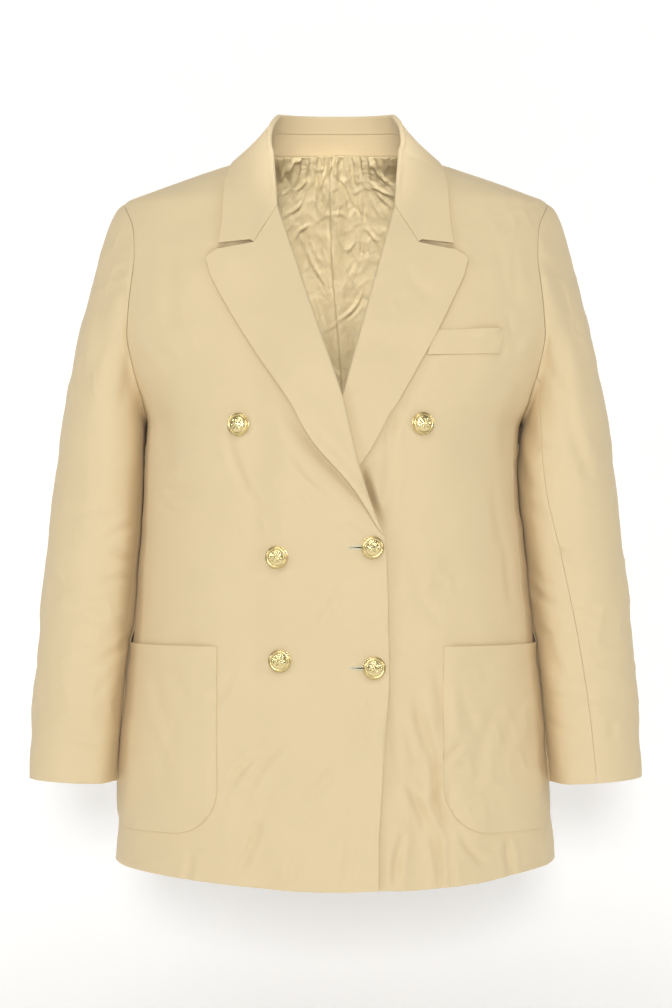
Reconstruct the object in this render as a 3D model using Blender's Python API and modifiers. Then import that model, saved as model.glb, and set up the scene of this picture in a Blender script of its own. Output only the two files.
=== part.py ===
"""Double breasted blazer, hollow, in the shape that it keeps when it is worn.

Metres, +Z up, the front faces -Y. The origin is midway between the two shoulders, level with
the sides of the neck, where the wearer holds the coat up. "Right" and "left" in the names are
the wearer's: the wearer's right side is at -X.

Every cloth piece is a wall, lofted from an outer grid of points and the same grid moved in along
the surface's own normals. The grids of neighbouring pieces are worked out from the same curves,
so their edges follow each other with one seam gap between them.
"""

import math

import bmesh
import bpy
import numpy as np
from mathutils import Vector

# ---------------------------------------------------------------- driving sizes

CLOTH = 0.0020  # coat cloth with its interlining
LAPEL_CLOTH = 0.0018  # lapel and collar, turned out
SLEEVE_CLOTH = 0.0018
POCKET_CLOTH = 0.0016
WELT_CLOTH = 0.0012
LINING_CLOTH = 0.0010
SEAM = 0.0003  # gap between two pieces that are sewn together
LAYER = 0.0004  # gap between cloth and what lies on it

ROUNDNESS = 2.4  # exponent of the body's superellipse sections

RIGHT, LEFT = -1, 1  # the wearer's sides, as the sign of X

# The body's level sections. Depths are measured from the plane through the shoulders.
BODY_COLUMNS = ("height", "half_width", "front_depth", "back_depth", "centre_x")
BODY_SECTIONS = (
    (-0.7600, 0.2260, 0.1390, 0.1250, -0.0010),
    (-0.7025, 0.2240, 0.1370, 0.1230, -0.0010),
    (-0.6510, 0.2210, 0.1350, 0.1200, -0.0020),
    (-0.5790, 0.2150, 0.1330, 0.1150, -0.0030),
    (-0.4960, 0.2065, 0.1310, 0.1070, -0.0030),
    (-0.3930, 0.1965, 0.1320, 0.1020, -0.0040),
    (-0.3300, 0.1910, 0.1360, 0.1070, -0.0055),
    (-0.2800, 0.1900, 0.1370, 0.1130, -0.0025),
    (-0.2500, 0.2015, 0.1340, 0.1160, 0.0000),
    (-0.2200, 0.2180, 0.1290, 0.1180, 0.0000),
    (-0.1800, 0.2365, 0.1205, 0.1175, 0.0000),
    (-0.1400, 0.2420, 0.1090, 0.1145, 0.0000),
    (-0.1000, 0.2360, 0.0960, 0.1080, 0.0000),
    (-0.0700, 0.2255, 0.0840, 0.1000, 0.0000),
    (-0.0474, 0.2165, 0.0745, 0.0930, 0.0000),
    (-0.0330, 0.1815, 0.0685, 0.0880, 0.0000),
    (-0.0124, 0.1226, 0.0590, 0.0815, 0.0000),
    (0.0030, 0.0740, 0.0520, 0.0780, 0.0000),
    (0.0150, 0.0650, 0.0480, 0.0755, 0.0000),
    (0.0400, 0.0560, 0.0450, 0.0740, 0.0000),
)

# Soft troughs that run down from the waist to the hem. Angles are from the centre front, in
# degrees, positive on the wearer's left.
TROUGH_COLUMNS = ("angle", "top", "half_width", "depth")
TROUGHS = (
    (34.0, -0.500, 6.0, 0.0055),
    (57.0, -0.640, 6.0, 0.0020),
    (-29.0, -0.620, 7.0, 0.0022),
    (150.0, -0.420, 9.0, 0.0045),
    (-146.0, -0.460, 8.0, 0.0040),
    (118.0, -0.520, 7.0, 0.0025),
    (-120.0, -0.500, 7.0, 0.0030),
)
TROUGH_FULL = -0.70  # the height at which a trough has its whole depth

HEM_SIDE = -0.7180
HEM_FRONT_DROP = 0.0200  # how much lower the hem is at the centre front
HEM_SAG = 0.0035  # how much lower the left front's hem hangs beside the overlap
HEM_BACK_DROP = 0.0040
HEM_TUCK = 0.0035  # the left front's hem is this much shorter where the right one covers it

# The neckline seam on the body, from the gorge at the front to the centre back.
NECKLINE_COLUMNS = ("angle", "height")
NECKLINE = (
    (40.6, -0.0570),
    (48.0, -0.0250),
    (62.0, -0.0040),
    (90.0, 0.0030),
    (120.0, 0.0070),
    (150.0, 0.0105),
    (180.0, 0.0120),
)

# Armhole: an egg seen from the side, from the shoulder tip down to the underarm.
ARMHOLE_TOP = -0.0474
ARMHOLE_BOTTOM = -0.2705
ARMHOLE_FRONT = 0.0680
ARMHOLE_BACK = 0.0700
ARMHOLE_STEPS = 28
SIDE_FRONT_STEP = 10  # where the side panel's front seam meets the armhole
SIDE_BACK_STEP = 18
SIDE_FRONT_HEM_ANGLE = 72.6
SIDE_BACK_HEM_ANGLE = 112.0

# Sleeve: level by level, the front view's outer and inner lines, and the depth.
SLEEVE_COLUMNS = ("height", "outer_line", "inner_line", "centre_y", "half_depth")
SLEEVE_SECTIONS = (
    (-0.6700, 0.3122, 0.2165, -0.0430, 0.0485),
    (-0.6390, 0.3110, 0.2145, -0.0400, 0.0495),
    (-0.5789, 0.3088, 0.2090, -0.0340, 0.0520),
    (-0.4965, 0.3028, 0.2005, -0.0260, 0.0550),
    (-0.4141, 0.2961, 0.1905, -0.0180, 0.0585),
    (-0.3317, 0.2874, 0.1835, -0.0100, 0.0615),
    (-0.2905, 0.2825, 0.1845, -0.0060, 0.0630),
    (-0.2287, 0.2727, 0.1900, -0.0010, 0.0660),
    (-0.1500, 0.2546, 0.1955, 0.0020, 0.0690),
    (-0.0900, 0.2372, 0.1980, 0.0030, 0.0700),
)
SLEEVE_SHIFT = -0.0008  # both sleeves hang this much towards the wearer's right
SLEEVE_CLEARANCE = 0.0024  # between the sleeve and the body that it rests against
SLEEVE_SOFTNESS = 0.0025  # how gently the sleeve's inner side flattens there
CUFF = -0.6355
CAP_END_TOP = -0.1500  # where the sleeve head has become the plain tube
CAP_END_BOTTOM = -0.3050
CAP_RINGS = 5
TUBE_RINGS = 9
SLEEVE_BACK_STEP = 18
SLEEVE_FRONT_STEP = {RIGHT: 11, LEFT: 10}
# Turn of the sleeve's seams from the tube's top to the cuff, in degrees.
SLEEVE_TWIST = {RIGHT: 0.0, LEFT: -38.0}
# Lengths of the sleeve head's curve handles, at the top and the bottom of the armhole.
HEAD_HANDLES = (0.018, 0.006)
TUBE_HANDLES = (0.045, 0.014)

# Fronts. "Across" is measured from the centre front towards the piece's own side.
FRONT_EDGE_COLUMNS = ("height", "reach")
FRONT_EDGE = {  # how far each front reaches past the centre
    RIGHT: ((-0.76, 0.0425), (-0.66, 0.0450), (-0.61, 0.0520), (-0.50, 0.0558), (-0.38, 0.0515)),
    LEFT: ((-0.76, 0.0360), (-0.66, 0.0360), (-0.61, 0.0360), (-0.50, 0.0360), (-0.38, 0.0345)),
}
BREAK_HEIGHT = -0.3800  # where each front turns out into its lapel
GORGE = (0.0585, -0.0570)  # across, height: top of the lapel at the roll line
NOTCH = (0.0819, -0.0956)  # where collar and lapel part
LAPEL_TOP = ((0.0819, -0.0956), (0.1190, -0.1025), (0.1330, -0.1126))  # from notch to peak
LAPEL_EDGE_COLUMNS = ("across", "height")
LAPEL_EDGE = {  # from the break up to the peak
    RIGHT: (
        (-0.0515, -0.3800),
        (-0.0400, -0.3643),
        (-0.0167, -0.3333),
        (0.0197, -0.2939),
        (0.0472, -0.2527),
        (0.0813, -0.2033),
        (0.1121, -0.1531),
        (0.1330, -0.1126),
    ),
    LEFT: (
        (-0.0345, -0.3800),
        (-0.0170, -0.3600),
        (0.0080, -0.3380),
        (0.0293, -0.3168),
        (0.0551, -0.2669),
        (0.0760, -0.2290),
        (0.1012, -0.1834),
        (0.1350, -0.1126),
    ),
}
LAPEL_PRESSED = 0.0011  # its gap where the other front lies on it
LAPEL_LIFT = 0.0022  # the lapel stands this far off the front
LAPEL_ROWS = 14
LAPEL_LAST_ROW = 0.965  # share of the roll line at the row below the gorge
ROLL_LAST_ROW = 0.012  # the front's last row lies this far below the gorge
FOLD_STEPS = 4

# How far the overlapping right front is lifted by what lies under it.
LIFT_OVER_FRONT = 0.0032
LIFT_OVER_LAPEL = 0.0066
LIFT_ACROSS = (0.045, 0.080)  # it sinks to the body between these distances from the centre
LIFT_LAPEL_RISE = (-0.425, -0.385)  # the under lapel's thickness comes in between these heights
LIFT_TOP = (-0.24, -0.12)  # and the whole lift ends between these

LOWER_ROWS = 6  # hem to break
MIDDLE_ROWS = 6  # break to the side panel's top
FRONT_COLUMNS = 12
BACK_COLUMNS = 9

# Collar, station by station from its front end to the centre back: the fold at its top, the
# direction that its outer leaf faces, and its outer edge.
COLLAR_COLUMNS = ("fold_x", "fold_y", "fold_z", "face_angle", "edge_x", "edge_y", "edge_z")
COLLAR_STATIONS = (
    (0.0585, -0.0780, -0.0570, 37.2, 0.1175, -0.0870, -0.0961),
    (0.0602, -0.0655, -0.0290, 45.0, 0.1141, -0.0758, -0.0683),
    (0.0632, -0.0400, 0.0000, 58.0, 0.1126, -0.0600, -0.0353),
    (0.0640, -0.0060, 0.0330, 82.0, 0.0970, -0.0150, -0.0060),
    (0.0590, 0.0350, 0.0500, 122.0, 0.0830, 0.0430, -0.0050),
    (0.0350, 0.0640, 0.0520, 158.0, 0.0460, 0.0745, -0.0005),
    (0.0000, 0.0725, 0.0526, 180.0, 0.0000, 0.0800, 0.0020),
)
COLLAR_TIP = (0.1175, -0.0961)
NECK_CELLS = 4  # columns of each panel along its half of the neckline
COLLAR_CELLS = 16  # rows of half the collar, two for each column of a panel
STAND_START = 7  # the row at which the stand begins
# Its top edge from that row on, with 0 at the fold and 1 at the neckline.
STAND_SEAM = (0.85, 0.65, 0.5)
COLLAR_FOLD_RADIUS = 0.0029
COLLAR_BULGE = 0.0015

# Patch pockets, measured along the cloth from their inner edge.
POCKET_WIDTH = 0.165
POCKET_TOP = -0.4970
POCKET_BOTTOM = -0.6830
POCKET_RADIUS = 0.0480
POCKET_INNER = {RIGHT: 0.1150, LEFT: 0.1095}
POCKET_STEPS = 10
POCKET_LAYER = 0.0007

# Breast welt on the wearer's left: inner and outer ends, across and height.
WELT_TOP = ((0.0960, -0.1835), (0.1665, -0.1808))
WELT_BOTTOM = ((0.0900, -0.2085), (0.1630, -0.2061))

# Buttons: side of the coat, across, height.
BUTTON_COLUMNS = ("node", "side", "across", "height")
BUTTONS = (
    ("button_top_right", RIGHT, 0.0937, -0.2775),
    ("button_top_left", LEFT, 0.0877, -0.2765),
    ("button_middle_right", RIGHT, 0.0540, -0.4085),
    ("button_middle_left", RIGHT, -0.0394, -0.3987),
    ("button_bottom_right", RIGHT, 0.0520, -0.5108),
    ("button_bottom_left", RIGHT, -0.0404, -0.5177),
)
BUTTON_RADIUS = 0.0110
BUTTON_HEIGHT = 0.0068
BUTTON_STEPS = 14

LINING_HEM_RISE = 0.45  # the back lining ends this share of the lowest row above the hem
LINING_MARGIN = 0.25  # and this share of a row below the neckline

CLOTH_COLOUR = (0.775, 0.617, 0.376)
LINING_COLOUR = (0.700, 0.540, 0.300)
GOLD_COLOUR = (0.830, 0.640, 0.260)


# ---------------------------------------------------------------- curves and surfaces


def table(columns, rows):
    """The rows as one array for each named column."""
    return dict(zip(columns, np.array(rows, float).T))


def smooth(x, xs, ys):
    """A smooth curve through the points (xs, ys) that never overshoots them (monotone cubic)."""
    x, xs, ys = np.asarray(x, float), np.asarray(xs, float), np.asarray(ys, float)
    step = np.diff(xs)
    slope = np.diff(ys) / step
    before, after = slope[:-1], slope[1:]
    w_before, w_after = 2 * step[1:] + step[:-1], step[1:] + 2 * step[:-1]
    rising = before * after > 0
    safe_before, safe_after = np.where(rising, before, 1), np.where(rising, after, 1)
    inner = (w_before + w_after) / (w_before / safe_before + w_after / safe_after)
    tangent = np.concatenate([slope[:1], np.where(rising, inner, 0), slope[-1:]])
    i = np.clip(np.searchsorted(xs, x) - 1, 0, len(xs) - 2)
    t = np.clip((x - xs[i]) / step[i], 0, 1)
    return (
        (1 + 2 * t) * (1 - t) ** 2 * ys[i]
        + t * (1 - t) ** 2 * step[i] * tangent[i]
        + t**2 * (3 - 2 * t) * ys[i + 1]
        + t**2 * (t - 1) * step[i] * tangent[i + 1]
    )


def ease(x, start, end):
    """0 before start, 1 after end, and a smooth step between them."""
    t = np.clip((np.asarray(x, float) - start) / (end - start), 0, 1)
    return t * t * (3 - 2 * t)


def mix(a, b, t):
    return a + (b - a) * t


def unit(v):
    return v / np.maximum(np.linalg.norm(v, axis=-1, keepdims=True), 1e-12)


def grid(u, v):
    """Two arrays, one row for each u and one column for each v."""
    return np.meshgrid(np.asarray(u, float), np.asarray(v, float), indexing="ij")


def normals(surface, u, v, step=1e-4, low_v=None):
    """Unit normals of surface(u, v), from its slopes on both sides of each point."""
    v_before = v - step if low_v is None else np.maximum(v - step, low_v)
    along_u = surface(u + step, v) - surface(u - step, v)
    along_v = surface(u, v + step) - surface(u, v_before)
    return unit(np.cross(along_u, along_v))


BODY = table(BODY_COLUMNS, BODY_SECTIONS)


def section(height):
    """Half width, front depth, back depth and centre of the body's section at a height."""
    return [smooth(height, BODY["height"], BODY[name]) for name in BODY_COLUMNS[1:]]


def drape(angle, height):
    """How far the troughs move the body's surface. The angle's sign is that of X."""
    out = 0 * angle * height
    for row in TROUGHS:
        trough = dict(zip(TROUGH_COLUMNS, row))
        off = (np.degrees(angle) - trough["angle"] + 180) % 360 - 180
        deepens = ease(-height, -trough["top"], -TROUGH_FULL)
        out = out - trough["depth"] * np.exp(-((off / trough["half_width"]) ** 2)) * deepens
    return out


def body_xyz(angle, height, side):
    """A point of the body: angle is 0 at the centre front, 90 degrees at the side, 180 behind."""
    half_width, front, back, centre = section(height)
    sine, cosine = np.sin(angle), np.cos(angle)
    depth = np.where(cosine > 0, front, back)
    radius = (np.abs(sine / half_width) ** ROUNDNESS + np.abs(cosine / depth) ** ROUNDNESS) ** (
        -1 / ROUNDNESS
    )
    radius = radius + drape(side * angle, height)
    return np.stack(
        [centre + side * radius * sine, -radius * cosine, height + 0 * radius], axis=-1
    )


def body_normal(angle, height, side):
    return side * normals(lambda a, h: body_xyz(a, h, side), angle, height, 1e-3)


def on_body(angle, height, side, out=0.0):
    """A point of the body, moved out by a distance along the normal."""
    out = np.asarray(out, float)[..., None]
    return body_xyz(angle, height, side) + out * body_normal(angle, height, side)


def angle_at(across, height):
    """The angle of the front's point at this distance from the centre front."""
    half_width, front, _, _ = section(height)
    share = np.clip(np.abs(across / half_width), 0, 1)
    return np.arctan2(across, front * (1 - share**ROUNDNESS) ** (1 / ROUNDNESS))


def hem_height(angle, side=RIGHT):
    """The hem is level at the back and dips towards the centre front."""
    front = np.clip(np.cos(angle), 0, 1) ** 1.4
    back = np.clip(-np.cos(angle), 0, 1)
    level = HEM_SIDE - HEM_FRONT_DROP * front - HEM_BACK_DROP * back
    if side == RIGHT:
        return level
    sag = HEM_SAG * ease(angle, 0.25, 0.60) * (1 - ease(angle, 0.85, 1.20))
    return level - sag + HEM_TUCK * (1 - ease(angle, 0.0, 0.35))


def armhole(turn):
    """Angle and height of the armhole: turn is 0 at the shoulder tip and grows down the front."""
    middle, half = (ARMHOLE_TOP + ARMHOLE_BOTTOM) / 2, (ARMHOLE_TOP - ARMHOLE_BOTTOM) / 2
    height = middle + half * np.cos(turn)
    in_front = np.sin(turn) >= 0
    half_width, front, back, _ = section(height)
    depth = np.where(in_front, front, back)
    off = np.where(in_front, ARMHOLE_FRONT, ARMHOLE_BACK) * np.abs(np.sin(turn))
    across = half_width * (1 - (off / depth) ** ROUNDNESS) ** (1 / ROUNDNESS)
    angle = np.arctan2(across, off)
    return np.where(in_front, angle, math.pi - angle), height


def armhole_turn(step):
    return 2 * math.pi * np.asarray(step, float) / ARMHOLE_STEPS


SLEEVE = table(SLEEVE_COLUMNS, sorted(SLEEVE_SECTIONS))


def tube(turn, height, side):
    """The sleeve's plain tube, an ellipse square to the arm: turn is 0 outside, 90 degrees in front."""

    def centre(level):
        outer = smooth(level, SLEEVE["height"], SLEEVE["outer_line"]) + side * SLEEVE_SHIFT
        inner = smooth(level, SLEEVE["height"], SLEEVE["inner_line"]) + side * section(level)[3]
        deep = smooth(level, SLEEVE["height"], SLEEVE["centre_y"])
        return np.stack([(outer + inner) / 2, deep, level], axis=-1), (outer - inner) / 2

    middle, half_thick = centre(height)
    along = unit(centre(height - 0.01)[0] - centre(height + 0.01)[0])
    outwards = unit(np.stack([-along[..., 2], 0 * height, along[..., 0]], axis=-1))
    half_depth = smooth(height, SLEEVE["height"], SLEEVE["half_depth"])
    point = middle + (half_thick * np.cos(turn))[..., None] * outwards
    point = point - (half_depth * np.sin(turn))[..., None] * np.array([0.0, 1.0, 0.0])
    return beside_body(point, side) * np.array([side, 1, 1])


def beside_body(point, side):
    """The point moved out sideways, where needed, so that the sleeve rests against the body."""
    x, y, height = point[..., 0], point[..., 1], point[..., 2]
    half_width, front, back, centre = section(height)
    share = np.clip(np.abs(y) / np.where(y < 0, front, back), 0, 1)
    pocket = 1 - ease(height, POCKET_TOP, POCKET_TOP + 0.03)
    clear = SLEEVE_CLEARANCE + (POCKET_CLOTH + 2 * POCKET_LAYER) * pocket
    body = side * centre + half_width * (1 - share**ROUNDNESS) ** (1 / ROUNDNESS) + clear
    pushed = body + SLEEVE_SOFTNESS * np.logaddexp(0, (x - body) / SLEEVE_SOFTNESS)
    return np.stack([pushed, y, height], axis=-1)


def sleeve_xyz(turn, ring, side):
    """The sleeve's outside: ring is 0 at the armhole, 1 where the tube begins and 2 at the cuff."""
    low = (1 - np.cos(turn)) / 2
    cap_end = mix(CAP_END_TOP, CAP_END_BOTTOM, low)
    start = body_xyz(*armhole(turn), side)
    end = tube(turn, cap_end, side)
    leave = np.stack([side * (0.95 - 0.25 * low), 0 * low, -0.34 - 0.38 * low**2], axis=-1)
    arrive = unit(tube(turn, cap_end - 0.005, side) - tube(turn, cap_end + 0.005, side))
    handle_start = mix(*HEAD_HANDLES, low)[..., None] * unit(leave)
    handle_end = mix(*TUBE_HANDLES, low)[..., None] * arrive
    t = np.clip(ring, 0, 1)[..., None]
    cap = (
        (1 - t) ** 3 * start
        + 3 * t * (1 - t) ** 2 * (start + handle_start)
        + 3 * t**2 * (1 - t) * (end - handle_end)
        + t**3 * end
    )
    clear_of_body = beside_body(cap * np.array([side, 1, 1]), side) * np.array([side, 1, 1])
    cap = mix(cap, clear_of_body, ease(t, 0.0, 0.6) * low[..., None])
    below = tube(turn, mix(cap_end, CUFF, np.clip(ring - 1, 0, 1.2)), side)
    return np.where((np.asarray(ring) > 1)[..., None], below, cap)


def sleeve_normal(turn, ring, side):
    return side * normals(lambda a, r: sleeve_xyz(a, r, side), turn, ring, 1e-3, low_v=0.0)


def armhole_normal(turn, side, own):
    """The direction through the cloth at the armhole seam: shared by body and sleeve on a ridge."""
    body = body_normal(*armhole(turn), side)
    sleeve = sleeve_normal(turn, 0 * turn, side)
    leaving = sleeve_xyz(turn, 0 * turn + 0.05, side) - sleeve_xyz(turn, 0 * turn, side)
    ridge = (body * leaving).sum(-1, keepdims=True) < 0
    return np.where(ridge, unit(body + sleeve), body if own == "body" else sleeve)


# ---------------------------------------------------------------- walls


def inset(points, through, gap=SEAM / 2):
    """The grid with its four edges moved in, each square to itself and along the cloth."""
    moved = points.copy()
    sides = ((np.s_[:, 0], np.s_[:, 1]), (np.s_[:, -1], np.s_[:, -2]), (0, 1), (-1, -2))
    for edge, inside in sides:
        tangent = np.gradient(points[edge], axis=0)
        across = unit(np.cross(tangent, through[edge]))
        towards = ((points[inside] - points[edge]) * across).sum(-1, keepdims=True)
        moved[edge] += gap * np.where(towards < 0, -1, 1) * across
    return moved


def cloth(points, through, thickness, gap=SEAM / 2):
    """Outer and inner grids of a wall, with a seam gap round its edges."""
    outer = inset(points, through, gap)
    return outer, outer - thickness * through


def wall(name, outer, inner, material):
    """A closed wall between two grids of points of the same size."""
    rows, columns = outer.shape[:2]
    count = rows * columns
    index = np.arange(count).reshape(rows, columns)
    a, b, c, d = index[:-1, :-1], index[:-1, 1:], index[1:, 1:], index[1:, :-1]
    top = np.stack([a, b, c, a, c, d], axis=-1).reshape(-1, 3)
    loop = np.concatenate([index[0, :-1], index[:-1, -1], index[-1, :0:-1], index[:0:-1, 0]])
    after = np.roll(loop, -1)
    rim = np.stack([after, loop, loop + count, after, loop + count, after + count], axis=-1)
    faces = np.concatenate([top, top[:, ::-1] + count, rim.reshape(-1, 3)])
    mesh = bpy.data.meshes.new(name)
    points = np.concatenate([outer.reshape(-1, 3), inner.reshape(-1, 3)])
    mesh.from_pydata(points.tolist(), [], faces.tolist())
    shape = bmesh.new()
    shape.from_mesh(mesh)
    bmesh.ops.recalc_face_normals(shape, faces=shape.faces)
    shape.to_mesh(mesh)
    shape.free()
    mesh.materials.append(material)
    mesh.shade_smooth()
    mesh.set_sharp_from_angle(angle=math.radians(40))
    thing = bpy.data.objects.new(name, mesh)
    COAT.objects.link(thing)
    return thing


def finish(name, colour, roughness, metallic=0.0):
    """A plain material for one kind of piece."""
    material = bpy.data.materials.new(name)
    material.use_nodes = True
    shader = material.node_tree.nodes["Principled BSDF"]
    shader.inputs["Base Color"].default_value = (*colour, 1.0)
    shader.inputs["Roughness"].default_value = roughness
    shader.inputs["Metallic"].default_value = metallic
    return material


# ---------------------------------------------------------------- body panels


def front_reach(height, side):
    """How far the front's edge lies past the centre front."""
    edge = table(FRONT_EDGE_COLUMNS, FRONT_EDGE[side])
    return smooth(height, edge["height"], edge["reach"])


def roll_line(share, side):
    """Across and height of the lapel's roll line, from the break (0) to the gorge (1)."""
    break_across = LAPEL_EDGE[side][0][0]
    return mix(break_across, GORGE[0], share), mix(BREAK_HEIGHT, GORGE[1], share)


def right_roll_x(height):
    """X of the right front's roll line at a height, where it crosses the left front."""
    share = np.clip((height - BREAK_HEIGHT) / (GORGE[1] - BREAK_HEIGHT), 0, 1)
    return -roll_line(share, RIGHT)[0]


def lift(across, height, side):
    """How far a front's outside stands off the body: the right front lies over the left one."""
    if side == LEFT:
        return 0 * across
    over_lapel = ease(height, *LIFT_LAPEL_RISE)
    high = mix(LIFT_OVER_FRONT, LIFT_OVER_LAPEL, over_lapel) * (1 - ease(height, *LIFT_TOP))
    return high * (1 - ease(across, *LIFT_ACROSS))


def lapel_gap(across, height, side):
    """Gap between front and lapel, pressed flat where the right front covers the left lapel."""
    if side == RIGHT:
        return LAPEL_LIFT + 0 * across
    clear = ease(across - right_roll_x(height), 0.004, 0.020)
    return mix(LAPEL_PRESSED, LAPEL_LIFT, clear)


def lapel_start():
    """Share of the roll line, from the break, at which the lapel begins: the front's next row."""
    top = armhole(armhole_turn(SIDE_FRONT_STEP))[1]
    return (top - BREAK_HEIGHT) / MIDDLE_ROWS / (GORGE[1] - BREAK_HEIGHT)


def side_seam(which, row_share):
    """Angle and height of a seam of the side panel, from the hem (0) to the armhole (1)."""
    step, hem_angle = {
        "front": (SIDE_FRONT_STEP, SIDE_FRONT_HEM_ANGLE),
        "back": (SIDE_BACK_STEP, SIDE_BACK_HEM_ANGLE),
    }[which]
    top_angle, top_height = armhole(armhole_turn(step))
    low_angle = math.radians(hem_angle)
    low_height = hem_height(low_angle)
    return mix(low_angle, top_angle, row_share), mix(low_height, top_height, row_share)


def row_shares():
    """Shares of the side seams at which the lower rows lie: one row is level with the break."""
    low = hem_height(math.radians(SIDE_FRONT_HEM_ANGLE))
    top = armhole(armhole_turn(SIDE_FRONT_STEP))[1]
    break_share = (BREAK_HEIGHT - low) / (top - low)
    lower = np.linspace(0, break_share, LOWER_ROWS + 1)
    return np.concatenate([lower, np.linspace(break_share, 1, MIDDLE_ROWS + 1)[1:]])


def neckline(share):
    """Angle and height of the neckline: 0 at the gorge, 0.5 at the side, 1 at the centre back."""
    line = table(NECKLINE_COLUMNS, NECKLINE)
    station = np.asarray(share, float) * (len(NECKLINE) - 1)
    stations = np.arange(len(NECKLINE))
    return (
        np.radians(smooth(station, stations, line["angle"])),
        smooth(station, stations, line["height"]),
    )


def front_panel(side):
    """One front, from its edge or roll line to the side seam, armhole and shoulder seam."""
    low_angle, low_height = side_seam("front", row_shares())
    steps = np.arange(SIDE_FRONT_STEP - 1, -1, -1)
    arm_angle, arm_height = armhole(armhole_turn(steps))
    outer_angle = np.concatenate([low_angle, arm_angle])
    outer_height = np.concatenate([low_height, arm_height])

    inner_low = np.linspace(hem_height(-0.3, side), BREAK_HEIGHT, LOWER_ROWS + 1)
    inner_mid = np.linspace(BREAK_HEIGHT, low_height[-1], MIDDLE_ROWS + 1)[1:]
    roll_top = GORGE[1] - ROLL_LAST_ROW
    up_roll = np.linspace(low_height[-1], roll_top, SIDE_FRONT_STEP - NECK_CELLS)[1:]
    level = np.concatenate([inner_low, inner_mid, up_roll])
    share = (level - BREAK_HEIGHT) / (GORGE[1] - BREAK_HEIGHT)
    across, _ = roll_line(np.clip(share, 0, 1), side)
    gap = lapel_gap(across, level, side)
    fold = (gap / 2 + LAPEL_CLOTH + SEAM) * ease(share, 0.0, lapel_start())
    across = np.where(share <= 0, -front_reach(level, side), across + fold)
    neck_angle, neck_height = neckline(np.linspace(0, 0.5, NECK_CELLS + 1))
    inner_angle = np.concatenate([angle_at(across, level), neck_angle])
    inner_height = np.concatenate([level, neck_height])

    s = np.linspace(0, 1, FRONT_COLUMNS + 1)[None, :]
    angle = mix(inner_angle[:, None], outer_angle[:, None], s)
    height = mix(inner_height[:, None], outer_height[:, None], s)
    height[0] = hem_height(angle[0], side)
    points, through = lifted(angle, height, side)
    turns = armhole_turn(np.arange(SIDE_FRONT_STEP, -1, -1))
    through[-len(turns) :, -1] = armhole_normal(turns, side, "body")
    return points, through


def lifted(angle, height, side, extra=0.0):
    """Points on the front's outside at these angles and heights, and the normals there."""
    through = body_normal(angle, height, side)
    base = body_xyz(angle, height, side)
    across = side * (base[..., 0] - section(height)[3])
    across = np.where(np.cos(angle) > 0, across, 1.0)
    out = lift(across, height, side) + extra
    return base + out[..., None] * through, through


def side_panel(side):
    """The panel under the arm, from the hem to the lower curve of the armhole."""
    turns = armhole_turn(np.arange(SIDE_FRONT_STEP, SIDE_BACK_STEP + 1))
    top_angle, top_height = armhole(turns)
    low_angle = np.radians(np.linspace(SIDE_FRONT_HEM_ANGLE, SIDE_BACK_HEM_ANGLE, len(turns)))
    share = row_shares()[:, None]
    angle = mix(low_angle[None, :], top_angle[None, :], share)
    height = mix(hem_height(low_angle)[None, :], top_height[None, :], share)
    through = body_normal(angle, height, side)
    points = body_xyz(angle, height, side)
    through[-1] = armhole_normal(turns, side, "body")
    return points, through


def back_panel(side):
    """One half of the back, from the centre back seam to the side seam, armhole and shoulder."""
    low_angle, low_height = side_seam("back", row_shares())
    turns = armhole_turn(np.arange(SIDE_BACK_STEP, ARMHOLE_STEPS + 1))
    arm_angle, arm_height = armhole(turns[1:])
    arm_angle = np.where(np.arange(len(arm_angle)) == len(arm_angle) - 1, math.pi / 2, arm_angle)
    outer_angle = np.concatenate([low_angle, arm_angle])
    outer_height = np.concatenate([low_height, arm_height])

    centre_low = mix(hem_height(math.pi), low_height[-1], row_shares())
    neck_angle, neck_height = neckline(np.linspace(1, 0.5, NECK_CELLS + 1))
    centre_high = np.linspace(low_height[-1], neck_height[0], len(arm_angle) - NECK_CELLS + 1)[1:]
    inner_height = np.concatenate([centre_low, centre_high, neck_height[1:]])
    inner_angle = np.concatenate(
        [np.full(len(centre_low) + len(centre_high), math.pi), neck_angle[1:]]
    )

    s = np.linspace(0, 1, BACK_COLUMNS + 1)[None, :]
    angle = mix(inner_angle[:, None], outer_angle[:, None], s)
    height = mix(inner_height[:, None], outer_height[:, None], s)
    height[0] = hem_height(angle[0])
    through = body_normal(angle, height, side)
    points = body_xyz(angle, height, side)
    through[-len(turns) :, -1] = armhole_normal(turns, side, "body")
    return points, through


def sleeve_part(side, first_step, last_step):
    """A lengthwise part of the sleeve, between two steps of the armhole."""
    cap = np.linspace(0, 1, CAP_RINGS + 1) ** 1.3
    rings = np.concatenate([cap, np.linspace(1, 2, TUBE_RINGS + 1)[1:]])
    ring, turn = grid(rings, armhole_turn(np.arange(first_step, last_step + 1)))
    turn = turn + math.radians(SLEEVE_TWIST[side]) * ease(ring, 0.6, 2.0)
    points = sleeve_xyz(turn, ring, side)
    through = sleeve_normal(turn, ring, side)
    through[0] = armhole_normal(turn[0], side, "sleeve")
    return points, through


# ---------------------------------------------------------------- lapels and collar


def along_path(points, shares, s):
    """Across and height at share s of a broken line whose corners lie at these shares."""
    points = np.asarray(points, float)
    return np.stack([np.interp(s, shares, points[:, k]) for k in (0, 1)], axis=-1)


def path_shares(points):
    """Share of a broken line's length at each of its corners."""
    steps = np.linalg.norm(np.diff(np.asarray(points, float), axis=0), axis=1)
    return np.concatenate([[0], np.cumsum(steps)]) / steps.sum()


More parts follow.
